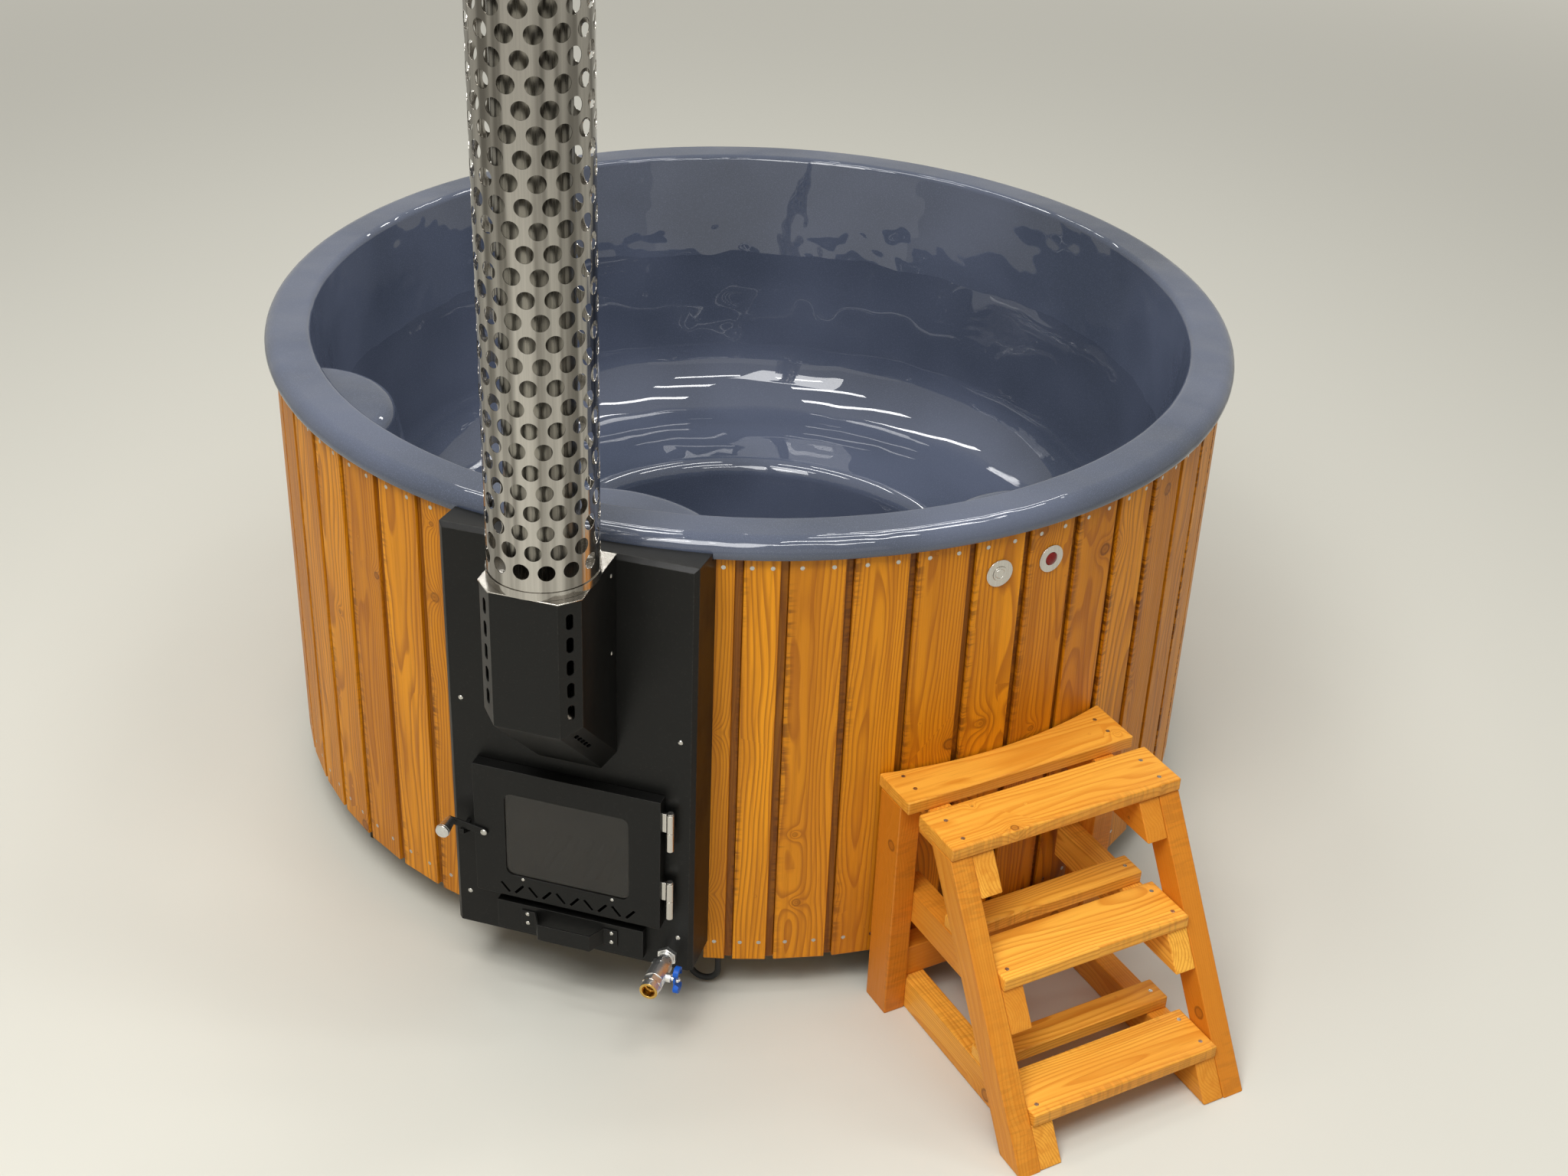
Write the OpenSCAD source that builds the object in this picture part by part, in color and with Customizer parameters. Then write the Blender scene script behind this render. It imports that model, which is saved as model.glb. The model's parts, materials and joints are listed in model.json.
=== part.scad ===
// Round hot tub with a built-in wood stove, a chimney with a heat guard and a loose step unit.
// Z is up and the ground is z = 0. The tub's axis is x = y = 0 and the stove panel faces -Y.
// Angles round the tub are measured from -Y towards +X.

/* [Shell] */
// Outer diameter of the rolled rim
rim_d = 2000; // [1900:10:2100]
// Height of the rim's top above the ground
rim_top = 1031; // [1003:1:1083]
// Radius of the rim's outer roll
rim_roll_r = 26; // [20:1:30]
// Radius of the rim's inner edge
rim_edge_r = 14; // [10:1:20]
// Thickness of the moulded shell
shell_t = 6; // [4:0.5:8]
// Lean of the bowl's wall from the vertical, degrees
wall_lean = 6; // [4:0.5:7]
// Distance from the rim's outside to its inner edge
rim_w = 78.3; // [70:0.1:90]
// Height of the bench
bench_z = 403; // [383:5:433]
// Radius of the curve between bench and wall
bench_curve_r = 170; // [120:5:200]
// Width of the bench's flat and inner edge
bench_w = 170; // [150:5:210]
// Height of the footwell's floor
foot_z = 155; // [151:1:173]
// Radius between the footwell's floor and wall
foot_fillet_r = 60; // [40:5:80]
// Radius of the bench's inner edge
foot_edge_r = 40; // [25:5:50]
// Lean of the footwell's wall, degrees
foot_lean = 5; // [2:0.5:8]

/* [Stove housing in the shell] */
// Height of the housing's shelf
shelf_z = 953; // [933:5:963]
// Radius of the housing at shelf level
housing_r = 283; // [275:1:300]
// Distance of the housing's axis inside the rim's outside
housing_in = 15; // [0:1:30]
// Radius of each side lobe at shelf level
lobe_r = 190; // [160:5:210]
// Distance of the side lobes' axes inside the rim's outside
lobe_in = 40; // [20:5:60]
// Angle of the side lobes from the stove, degrees
lobe_angle = 50; // [46:1:56]
// Radius of the small lobes between housing and side lobe
link_r = 120; // [100:5:140]
// Angle of the small lobes, degrees
link_angle = 27; // [24:1:30]
// Lean of the housing's and lobes' walls, degrees
housing_lean = 10; // [8:0.5:12]
// Radius of the shelf's edge
shelf_edge_r = 30; // [15:1:40]

/* [Cladding and frame] */
// Overhang of the rim beyond the cladding
rim_over = 18; // [16:1:22]
// Thickness of the boards
board_t = 20; // [16:1:22]
// Width of the rebated strip that shows between boards
lip_w = 15; // [8:1:20]
// Depth of the rebated strip below the face
lip_depth = 9; // [5:1:12]
// Height of the boards' lower end
board_z0 = 94; // [88:1:113]
// Height of the boards' upper end
board_z1 = 1009; // [988:1:1013]
// Number of full boards
board_count = 48; // [40:1:56]
// Angle where the full boards start, right of the stove
first_seam = 21.34; // [18:0.01:24]
// Angle where the full boards end, left of the stove
last_seam = 19.47; // [18:0.01:24]
// Angle of the seam between the two cut boards
cut_seam = 16.74; // [15.5:0.01:17.5]
// Half angle of the gap in the cladding at the stove
gap_angle = 13.5; // [13.2:0.1:13.8]
// Distance of the screw rows from the boards' ends
screw_inset = 42; // [36:1:60]
// Width of the hoops
hoop_h = 70; // [50:1:80]
// Thickness of the hoops
hoop_t = 12; // [9:1:14]
// Depth of the studs
stud_d = 26; // [20:1:27]
// Width of the studs
stud_w = 45; // [35:1:50]
// Number of studs
stud_count = 10; // [8:1:10]
// Angle of the two studs beside the stove
stud_angle = 17.4; // [17.2:0.1:18]

/* [Base] */
// Width of the timber runners
runner_w = 90; // [70:5:90]
// Height of the timber runners
runner_h = 73; // [60:1:73]
// Distance between the runners
runner_pitch = 550; // [450:10:600]
// How far the middle runner's front end stands back from the deck's edge
runner_back = 110; // [80:5:150]
// Thickness of the deck
deck_t = 20; // [15:1:20]
// Distance of the deck's edge behind the boards
deck_in = 14; // [7:1:15]
// Distance of the footwell's ring inside the footwell's flat floor
seat_in = 6.7; // [5:0.1:40]
// Width of that ring
seat_w = 60; // [30:5:80]

/* [Board screws] */
// Head diameter
screw_head_d = 8; // [7:0.5:9]
// Head thickness
screw_head_t = 2.5; // [2:0.1:3]
// Shank diameter
screw_d = 4; // [3.5:0.5:5]
// Shank's reach behind the board
screw_bite = 9; // [6:1:11]

/* [Stove panel] */
// Reach of the panel's face beyond the rim
panel_reach = 48; // [40:1:60]
// Width of the panel's flat face
panel_w = 458; // [450:1:462]
// Width of the folds at its edges
fold = 8; // [5:0.5:9]
// Sheet thickness
sheet_t = 2.5; // [2:0.5:3]
// Height of the panel's lower edge
panel_z0 = 138; // [118:1:143]
// Height of the panel's upper edge
panel_z1 = 1012; // [1003:1:1015]
// Height of the lower panel screws over the panel's lower edge
panel_screw_low = 75; // [60:1:90]
// Height of the upper panel screws over the panel's lower edge
panel_screw_high = 518; // [480:1:560]
// Distance of the panel screws from the panel's side
panel_screw_in = 28; // [20:1:36]
// Slope of the panel's top, degrees
panel_slope = 6; // [4:1:8]

/* [Fire chamber] */
// Distance from the jacket's side to the panel's side
jacket_gap = 24; // [21:1:30]
// Distance of the jacket's back behind the panel's face
jacket_depth = 326; // [308:1:328]
// Radius of the jacket's back corners
jacket_r = 100; // [90:1:110]
// Height of the stove's bottom
stove_z0 = 233; // [228:1:241]
// Height of the stove's top
stove_z1 = 815; // [808:1:823]
// Thickness of the jacket's sheet
jacket_t = 3; // [2:0.5:4]
// Thickness of the chamber's plate
chamber_t = 4; // [3:0.5:5]
// Width of the water space
water_gap = 25; // [20:1:28]
// Diameter of the flue
flue_d = 120; // [110:1:125]
// Thickness of the flue's wall
flue_t = 1.2; // [0.8:0.1:1.5]
// Outer diameter of the two water pipes
water_d = 50; // [40:1:54]
// Height of the lower water pipe
water_z0 = 308; // [293:1:318]
// Height of the upper water pipe
water_z1 = 723; // [703:1:733]
// Wall of the water pipes
water_t = 2; // [1.5:0.5:3]
// Diameter of the pipes' grilles in the tub
grille_d = 92; // [80:1:100]

/* [Fire door] */
// Width of the door
door_w = 364; // [356:1:366]
// Height of the door's lower edge
door_z0 = 245; // [241:1:247]
// Height of the door's upper edge
door_z1 = 535; // [528:1:543]
// Depth of the door pan
door_depth = 25; // [22:1:28]
// Width of the window
window_w = 242; // [230:1:246]
// Height of the window's lower edge
window_z0 = 296; // [295:1:299]
// Height of the window's upper edge
window_z1 = 482; // [463:1:486]
// Radius of the window's corners
window_r = 15; // [8:1:25]
// Glass thickness
glass_t = 4; // [3:0.5:5]
// Overlap of the glass behind the door
glass_lap = 4; // [3.5:0.1:4]
// Number of air slots under the window
air_slots = 10; // [6:2:10]
// Diameter of the hinge barrels
barrel_d = 14.5; // [13:0.5:15]
// Diameter of the hinge pins
pin_d = 8; // [6:0.5:9]
// Length of one hinge
hinge_l = 81; // [70:1:86]
// Height of the lower hinge's bottom
hinge_z0 = 271; // [258:1:283]
// Height of the upper hinge's bottom
hinge_z1 = 427; // [413:1:438]
// Running clearance round pins and stems
run_gap = 0.05; // [0.02:0.01:0.09]

/* [Door latch] */
// Distance of the latch pivot left of the panel's middle
latch_x = 162; // [158:1:166]
// Height of the latch pivot
latch_z = 385; // [373:1:398]
// Length of the lever
latch_l = 67; // [60:1:72]
// Rise of the lever towards its knob, degrees
latch_rise = 10; // [5:1:12]
// Width of the lever
latch_w = 15; // [12:1:18]
// Thickness of the lever
latch_t = 4; // [3:0.5:5]
// Diameter of the knob at its front
knob_d = 26; // [20:1:28]
// Diameter of the knob at the lever
knob_neck = 18; // [14:1:20]
// Length of the knob
knob_l = 38; // [30:1:45]

/* [Ash drawer] */
// Width of the drawer's front
ash_w = 292; // [286:1:298]
// Height of its lower edge
ash_z0 = 156; // [153:1:159]
// Height of its upper edge
ash_z1 = 222; // [219:1:225]
// Depth of its folded front
ash_depth = 16; // [12:1:20]
// Inside length of the tray
ash_l = 225; // [200:5:240]
// Distance between the handle's feet
pull_w = 168; // [150:1:180]
// Reach of the handle
pull_reach = 34; // [28:1:40]
// Height of the handle's strip
pull_h = 36; // [30:1:40]

/* [Flue cover and chimney] */
// Width of the cover
cover_w = 180; // [174:1:182]
// Reach of the cover in front of the panel
cover_reach = 186; // [180:1:190]
// Width of its front corners' flats, along x and y
cover_flat = 30; // [24:1:34]
// Height where the cover bends towards the panel
cover_bend = 751; // [743:1:758]
// Height of the cover's top
cover_top = 1014; // [1009:1:1023]
// Number of vent slots in each corner
vents = 5; // [3:1:5]
// Distance between the vent slots
vent_pitch = 44.5; // [38:0.5:46]
// Thickness of the plate on the cover
plate_t = 2; // [1.5:0.5:3]
// Outer diameter of the heat guard
guard_d = 188; // [184:1:192]
// Thickness of the heat guard
guard_t = 1.2; // [1:0.1:1.5]
// Length of the heat guard
guard_l = 1000; // [800:10:1000]
// Diameter of the guard's holes
guard_hole = 28.5; // [20:0.5:30]
// Holes in one row, an even number
guard_around = 14; // [8:2:14]
// Distance between the rows
guard_pitch = 36.2; // [34:0.1:45]
// Height of the first row above the guard's foot
guard_first = 50; // [40:1:60]
// Length of one flue pipe
pipe_l = 1000; // [900:10:1200]
// Overlap where flue pipes slide together
pipe_lap = 36; // [25:1:50]
// Diameter of the rain cap
cap_d = 230; // [200:5:260]
// Height of the rain cap's cone
cap_h = 45; // [30:1:60]
// Gap between flue and rain cap
cap_gap = 45; // [35:1:60]

/* [Drain valve] */
// Distance of the valve right of the panel's middle
valve_x = 190; // [186:1:194]
// Height of the drain pipe
drain_z = 167; // [163:1:173]
// Outer diameter of the drain pipe
drain_d = 33; // [32:0.5:34]
// Outer diameter of the nipple
nipple_d = 26.4; // [25:0.1:27]
// Bore of the nipple
nipple_bore = 20; // [18:0.5:21]
// Ball diameter
ball_d = 28; // [26:0.5:29]
// Outer diameter of the valve's body
valve_d = 38; // [36:0.5:40]
// Distance of the ball in front of the panel
ball_y = 60; // [54:1:64]
// Outer diameter of the outlet
outlet_d = 35; // [33:0.5:37]
// Bore of the outlet's thread
outlet_bore = 24.5; // [24:0.1:25]
// Stem diameter
stem_d = 8; // [7:0.5:9]
// Distance of the handle from the pipe's axis
handle_x = 34; // [31:1:38]
// Distance between the handle's lobes
handle_l = 36; // [30:1:40]

/* [Electric parts] */
// Height of the button and the indicator
button_z = 909; // [898:1:918]
// Outer diameter of the bezels
bezel_d = 54; // [45:1:58]
// Thickness of the bezels' flanges
bezel_t = 3; // [2:0.5:4]
// Diameter of the button's cap
cap_button_d = 28; // [22:0.5:30]
// Travel of the button
button_travel = 1.5; // [1:0.1:2]
// Diameter of the red lens
lens_d = 25; // [20:0.5:28]
// Diameter of the cable at the panel's foot
cable_d = 12; // [10:0.5:12]
// Radius of the cable's loop
loop_r = 29; // [26:1:34]
// Height of the loop's middle
loop_z = 42; // [40:1:60]

/* [Steps] */
// Width over the sides
steps_w = 498; // [460:1:540]
// Height of one step
step_rise = 212; // [190:1:220]
// Height of the lowest tread
step_first = 98; // [98:1:113]
// Depth from one step to the next
step_run = 130; // [125:0.5:145]
// Thickness of the planks
plank_t = 27; // [22:1:32]
// Width of the planks
plank_w = 115; // [100:1:120]
// Width of the narrow slats
slat_w = 57; // [45:1:60]
// Thickness of posts, sides and bearers
side_t = 45; // [35:1:50]
// Depth of the posts and bearers
side_d = 70; // [60:1:71]
// Depth of the sloping sides
leg_d = 58; // [50:1:70]
// Gap between the top tread and the cladding
steps_gap = 3; // [1:0.5:10]
// Direction in which the steps stand, degrees
steps_angle = 45; // [35:1:90]
// Shift of the steps along their width
steps_shift = 28; // [0:1:45]

/* [Hidden] */
$fn = 64;
big = 240;
touch = 0.3;
wood = [0.74, 0.42, 0.11];
black = [0.1, 0.095, 0.09];
steel = [0.75, 0.74, 0.72];
grey = [0.38, 0.41, 0.48];

// The bowl's section: arcs whose outward normal turns from [cos a, -sin a] as the line climbs.
function turn(c, r, a0, a1, k, s) = [for (i = [0:k]) let(a = a0 + (a1 - a0)*i/k) c + s*r*[cos(a), -sin(a)]];
rim_r = rim_d/2;
edge_z = rim_top - rim_edge_r;
wall_top = rim_r - rim_w - rim_edge_r*cos(wall_lean);
wall_run = (edge_z + rim_edge_r*sin(wall_lean) - bench_z - bench_curve_r*(1 - sin(wall_lean)))/cos(wall_lean);
wall_foot = [wall_top - wall_run*sin(wall_lean), bench_z + bench_curve_r*(1 - sin(wall_lean))];
bench_c = [wall_foot[0] - bench_curve_r*cos(wall_lean), bench_z + bench_curve_r];
edge_c = [rim_r - rim_w, edge_z];
foot_r = bench_c[0] - bench_w;
foot_c = [foot_r, bench_z - foot_edge_r];
foot_run = (foot_c[1] + (foot_fillet_r + foot_edge_r)*sin(foot_lean) - foot_z - foot_fillet_r)/cos(foot_lean);
floor_c = foot_c - (foot_fillet_r + foot_edge_r)*[cos(foot_lean), -sin(foot_lean)]
  - foot_run*[sin(foot_lean), cos(foot_lean)];
roll_c = [rim_r - rim_roll_r, rim_top - rim_roll_r];
function bowl_line(o) = concat([[0, foot_z - o]],
  turn(floor_c, foot_fillet_r + o, 90, foot_lean, 6, 1),
  turn(foot_c, foot_edge_r - o, foot_lean, 90, 5, -1),
  turn(bench_c, bench_curve_r + o, 90, wall_lean, 8, 1));
function rim_line(o) = concat(turn(edge_c, rim_edge_r - o, wall_lean, 90, 4, -1),
  turn(roll_c, rim_roll_r - o, 90, 215, 9, -1));
function back(v) = [for (i = [len(v) - 1:-1:0]) v[i]];
function at(r, a) = [r*sin(a), -r*cos(a)];

// Cladding: the seams' angles, and where the screws sit on a board's face
clad_r = rim_r - rim_over;
board_a = (360 - last_seam - first_seam)/board_count;
lip_a = 2*asin(lip_w/2/clad_r);
seam_gap = 0.02;
boards = concat([[-last_seam, -gap_angle, 0], [gap_angle, cut_seam, 1], [cut_seam, first_seam, 1]],
  [for (k = [0:board_count - 1]) [first_seam + board_a*k, first_seam + board_a*(k + 1), 1]]);
function face_end(b) = b[2] == 0 ? b[1] : b[1] - lip_a;
function face_mid(b) = (b[0] + face_end(b))/2;
function face_r(b) = clad_r*cos((face_end(b) - b[0])/2);
function face_half(b) = clad_r*sin((face_end(b) - b[0])/2);
function screw_xs(b) = face_half(b) < 24 ? [0] : [-face_half(b)*0.56, face_half(b)*0.56];
board_screw_z = [board_z0 + screw_inset, board_z1 - screw_inset];
board_back = clad_r - board_t;
hoop_r = board_back*cos(board_a/2) - touch;
stud_r = hoop_r - hoop_t - touch;
gap_x = clad_r*sin(gap_angle);
deck_r = board_back - deck_in;
deck_top = runner_h + deck_t;
seat_r = floor_c[0] - seat_in;

// Stove and drain
panel_y = rim_r + panel_reach;
jacket_back = panel_y - jacket_depth;
housing_axis = rim_r - housing_in;
lobe_axis = rim_r - lobe_in;
drain_y = floor_c[0] + 25;
panel_half = panel_w/2 + fold;
jacket_w = panel_w - 2*jacket_gap;
plate_y = panel_y - sheet_t - touch;
chamber_in = jacket_t + water_gap + chamber_t;
guard_y = panel_y + cover_reach - guard_d/2 + 4;
elbow_z = cover_bend + (panel_y + cover_reach - guard_y)*tan(22.5);
mouth = [window_w/2 + 27, window_z0 - 28, window_z1 + 24];
pipe_id = nipple_d + 2*touch;
guard_z = cover_top + touch + plate_t + touch;
guard_rows = floor((guard_l - guard_first - guard_hole)/guard_pitch) + 1;
elbow_top = guard_z + pipe_lap;
sleeve_d = flue_d + 2*flue_t + 2*touch;
cap_z = guard_z + 2*pipe_l + cap_gap;
hinge_x = door_w/2 + 1.5 + barrel_d/2 + 7;
hinge_y = panel_y + 16;
door_y = panel_y + door_depth;
glass_y = door_y - sheet_t - touch;
lever_y = door_y + 0.5;
knob_at = [-latch_x - latch_l*cos(latch_rise), latch_z + latch_l*sin(latch_rise)];
tray_half = ash_w/2 - 8;
tray_z0 = ash_z0 + 5;
tray_z1 = ash_z1 - 8;
valve_y = panel_y + ball_y;
cable_y = board_back - 44;

// Steps
steps_top = step_first + 2*step_rise;
post_in = max(0, steps_w/2 - side_t - steps_shift);
steps_back = sqrt(pow(clad_r + steps_gap, 2) - pow(post_in, 2));
tub_side = max(0, clad_r + steps_gap - steps_back);
slope = step_run/step_rise;
tread_front = [plank_w*2 + 15, plank_w*2 + 15 + step_run, plank_w*2 + 15 + 2*step_run];
side_foot = tread_front[0] - 4 + (steps_top - plank_t)*slope;
side_run = leg_d*sqrt(1 + slope*slope);

module round_at(a) { rotate([0, 0, a]) children(); }
module along_y(y0, y1, d) { translate([0, -y0, 0]) rotate([90, 0, 0]) cylinder(d=d, h=y1 - y0); }
module slab(x0, x1, y0, y1, z0, z1) { translate([x0, -y1, z0]) cube([x1 - x0, y1 - y0, z1 - z0]); }

module bowl_space(o) {
  w = turn(edge_c, rim_edge_r - o, wall_lean, wall_lean, 1, -1)[0];
  rotate_extrude($fn=big) polygon(concat(bowl_line(o), [w, [w[0], rim_top + 30], [0, rim_top + 30]]));
}

// One lobe of the housing: a cone with a rounded top edge, o in from its surface
module lobe(a, axis, r, o, z0) {
  c = [r - shelf_edge_r, shelf_z - shelf_edge_r];
  e = shelf_edge_r - o;
  s = c + e*[cos(housing_lean), sin(housing_lean)];
  low = [s[0] + (s[1] - z0)*tan(housing_lean), z0];
  round_at(a) translate([0, -axis, 0]) rotate_extrude($fn=96)
    polygon(concat([[0, z0], low], [for (i = [0:5]) let(b = housing_lean + (90 - housing_lean)*i/5)
      c + e*[cos(b), sin(b)]], [[0, shelf_z - o]]));
}
module lobes(o, z0) {
  lobe(0, housing_axis, housing_r, o, z0);
  for (s = [-1, 1]) {
    lobe(s*lobe_angle, lobe_axis, lobe_r, o, z0);
    lobe(s*link_angle, lobe_axis, link_r, o, z0);
  }
}

module shell() {
  color(grey) difference() {
    union() {
      rotate_extrude($fn=big) polygon(concat(bowl_line(0), rim_line(0), back(rim_line(shell_t)), back(bowl_line(shell_t))));
      intersection() { lobes(0, bench_z - shell_t/2); bowl_space(shell_t/2); }
    }
    lobes(shell_t, bench_z - 60);
    for (z = [water_z0, water_z1]) translate([0, 0, z]) along_y(foot_r - 120, jacket_back, water_d + 2*touch);
    translate([0, 0, drain_z]) along_y(drain_y, foot_r + 40, drain_d + 2*touch);
  }
}

module base_runners() {
  color([0.55, 0.5, 0.32]) for (x = [-runner_pitch, 0, runner_pitch]) let(h = sqrt(pow(deck_r - 12, 2) - pow(abs(x) + runner_w/2, 2)), set = x == 0 ? runner_back : 0)
    translate([x - runner_w/2, set - h, 0]) cube([runner_w, 2*h - set, runner_h]);
}
module base_deck() {
  color([0.7, 0.58, 0.4]) difference() {
    translate([0, 0, runner_h]) cylinder(r=deck_r, h=deck_t, $fn=big);
    slab(valve_x - 24, gap_x + 50, cable_y - 23, clad_r, runner_h - 1, deck_top + 1);
  }
}
module shell_seat() {
  color([0.7, 0.58, 0.4]) translate([0, 0, deck_top]) difference() {
    cylinder(r=seat_r, h=foot_z - shell_t - deck_top, $fn=120);
    translate([0, 0, -1]) cylinder(r=seat_r - seat_w, h=foot_z, $fn=120);
  }
}
module frame_studs() {
  color([0.72, 0.56, 0.36]) for (k = [0:stud_count - 1]) round_at(stud_angle + (360 - 2*stud_angle)*k/(stud_count - 1))
    slab(-stud_w/2, stud_w/2, stud_r*cos(1.4) - stud_d, stud_r*cos(1.4), deck_top, rim_top - shell_t);
}
module frame_hoops() {
  color([0.7, 0.58, 0.4]) for (z = board_screw_z) translate([0, 0, z - hoop_h/2]) difference() {
    cylinder(r=hoop_r, h=hoop_h, $fn=big);
    translate([0, 0, -1]) cylinder(r=hoop_r - hoop_t, h=hoop_h + 2, $fn=big);
    slab(-gap_x - 6, gap_x + 6, rim_r/2, rim_r, -1, hoop_h + 1);
  }
}

module screw_spots(b) {
  for (z = board_screw_z, x = screw_xs(b)) round_at(face_mid(b)) translate([x, -face_r(b), z]) rotate([-90, 0, 0]) children();
}
module board(b) {
  e = face_end(b);
  n = b[1] - (b[2] == 0 ? 0 : seam_gap);
  difference() {
    translate([0, 0, board_z0]) linear_extrude(board_z1 - board_z0) polygon(b[2] == 0
      ? [at(clad_r, b[0]), at(clad_r, e), at(board_back, e), at(board_back, b[0])]
      : [at(clad_r, b[0]), at(clad_r, e), at(clad_r - lip_depth, e), at(clad_r - lip_depth, n),
         at(board_back, n), at(board_back, b[0])]);
    screw_spots(b) {
      translate([0, 0, -5]) cylinder(d=screw_d + 0.4, h=board_t + 20, $fn=24);
      translate([0, 0, -5]) cylinder(d=screw_head_d + 0.4, h=5 + screw_head_t, $fn=24);
    }
  }
}
module bezel_hole(k) {
  b = boards[3 + k];
  round_at(face_mid(b)) translate([0, -face_r(b) - 20, button_z]) rotate([-90, 0, 0])
    cylinder(d=cap_button_d + 6 + 2*touch, h=60);
}
module cladding_boards() {
  color(wood) for (i = [0:len(boards) - 1]) {
    if (i == 6 || i == 7) difference() { board(boards[i]); bezel_hole(i - 3); }
    else board(boards[i]);
  }
}
module board_screws() {
  color(steel) for (b = boards) screw_spots(b) {
    cylinder(d=screw_head_d, h=screw_head_t, $fn=24);
    cylinder(d=screw_d, h=board_t + screw_bite, $fn=24);
  }
}

// Drain: strainer and pipe from the footwell's wall, under the stove, to the panel
module drain_strainer() {
  color(steel) difference() {
    intersection() { translate([0, 0, drain_z]) along_y(drain_y - 5, foot_r - 40, 66); bowl_space(0); }
    translate([0, 0, drain_z]) along_y(foot_r - 220, foot_r - 40, 2);
    for (a = [0:60:359]) translate([0, 0, drain_z]) rotate([0, a, 0]) translate([9, 0, 0]) along_y(foot_r - 220, foot_r - 40, 5, $fn=24);
  }
}
module pipe_run(d) {
  turn_y = foot_r + 90;
  translate([0, 0, drain_z]) {
    along_y(drain_y + touch, turn_y, d);
    translate([0, -turn_y, 0]) sphere(d=d);
    translate([0, -turn_y, 0]) rotate([0, 90, 0]) cylinder(d=d, h=valve_x);
    translate([valve_x, -turn_y, 0]) sphere(d=d);
    translate([valve_x, 0, 0]) along_y(turn_y, plate_y - 30, d);
  }
}
module drain_pipe() {
  color([0.85, 0.85, 0.83]) difference() {
    pipe_run(drain_d);
    pipe_run(pipe_id);
    bowl_space(0);
    translate([valve_x, 0, drain_z]) along_y(plate_y - 60, plate_y, pipe_id);
  }
}
module in_valve() { translate([valve_x, 0, drain_z]) children(); }
module hex_y(y0, y1, af) { translate([0, -y0, 0]) rotate([90, 30, 0]) cylinder(d=af/cos(30), h=y1 - y0, $fn=6); }
module valve_nipple() {
  color(steel) in_valve() difference() {
    union() {
      along_y(plate_y - 50, valve_y - ball_d/2 - 6, nipple_d);
      hex_y(panel_y, panel_y + 9, nipple_d + 8);
      along_y(panel_y + 9, panel_y + 13, nipple_d + 5);
    }
    along_y(plate_y - 60, valve_y, nipple_bore);
  }
}
module valve_body() {
  color(steel) in_valve() difference() {
    union() {
      hex_y(valve_y - 35, valve_y - 19, valve_d - 4);
      along_y(valve_y - 20, valve_y + 18, valve_d);
      translate([0, -valve_y, 0]) rotate([0, 90, 0]) cylinder(d=stem_d + 9, h=handle_x - 6);
    }
    along_y(valve_y - 36, valve_y - ball_d/2 - 5.7, nipple_d + 2*touch);
    along_y(valve_y - 36, valve_y, nipple_bore);
    translate([0, -valve_y, 0]) sphere(d=ball_d + 2*run_gap);
    along_y(valve_y, valve_y + 19, ball_d + 2*run_gap);
    translate([0, -valve_y, 0]) rotate([0, 90, 0]) cylinder(d=stem_d + 2*run_gap, h=handle_x);
  }
}
module valve_outlet() {
  color([0.83, 0.66, 0.3]) in_valve() difference() {
    union() {
      along_y(valve_y + 8, valve_y + 20, ball_d - 2*touch);
      hex_y(valve_y + 18.1, valve_y + 32, outlet_d - 1);
      along_y(valve_y + 31, valve_y + 48, outlet_d);
    }
    translate([0, -valve_y, 0]) sphere(d=ball_d + 2*run_gap);
    along_y(valve_y + 5, valve_y + 33, nipple_bore);
    along_y(valve_y + 32, valve_y + 49, outlet_bore);
  }
}
module valve_ball() {
  color(steel) in_valve() translate([0, -valve_y, 0]) difference() {
    sphere(d=ball_d);
    cylinder(d=nipple_bore - 2, h=ball_d + 2, center=true);
    translate([ball_d/2 - 3, -6, -2]) cube([6, 12, 4]);
  }
}
module valve_stem() {
  color(steel) in_valve() translate([0, -valve_y, 0]) {
    translate([ball_d/2 - 2.7, -3.5, -1.7]) cube([6, 7, 3.4]);
    translate([ball_d/2 + 0.8, 0, 0]) rotate([0, 90, 0]) cylinder(d=stem_d, h=handle_x - ball_d/2 - 1);
    translate([handle_x - 1, 0, 0]) rotate([0, 90, 0]) cylinder(d=stem_d - 2, h=12);
  }
}
module valve_handle() {
  color([0.05, 0.25, 0.65]) in_valve() translate([handle_x, -valve_y, 0]) rotate([0, 90, 0]) difference() {
    union() {
      cylinder(d=20, h=4);
      for (s = [-1, 1]) {
        translate([s*handle_l/2, 0, 0]) cylinder(d=20, h=4);
        translate([min(0, s*handle_l/2), -7, 0]) cube([handle_l/2, 14, 4]);
      }
    }
    translate([0, 0, -1]) cylinder(d=stem_d - 2 + 0.2, h=6);
  }
}
module valve_nut() {
  color(steel) in_valve() translate([handle_x + 4, -valve_y, 0]) rotate([0, 90, 0]) difference() {
    cylinder(d=11.5, h=5, $fn=6);
    translate([0, 0, -1]) cylinder(d=stem_d - 2 + 0.2, h=7);
  }
}

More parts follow.
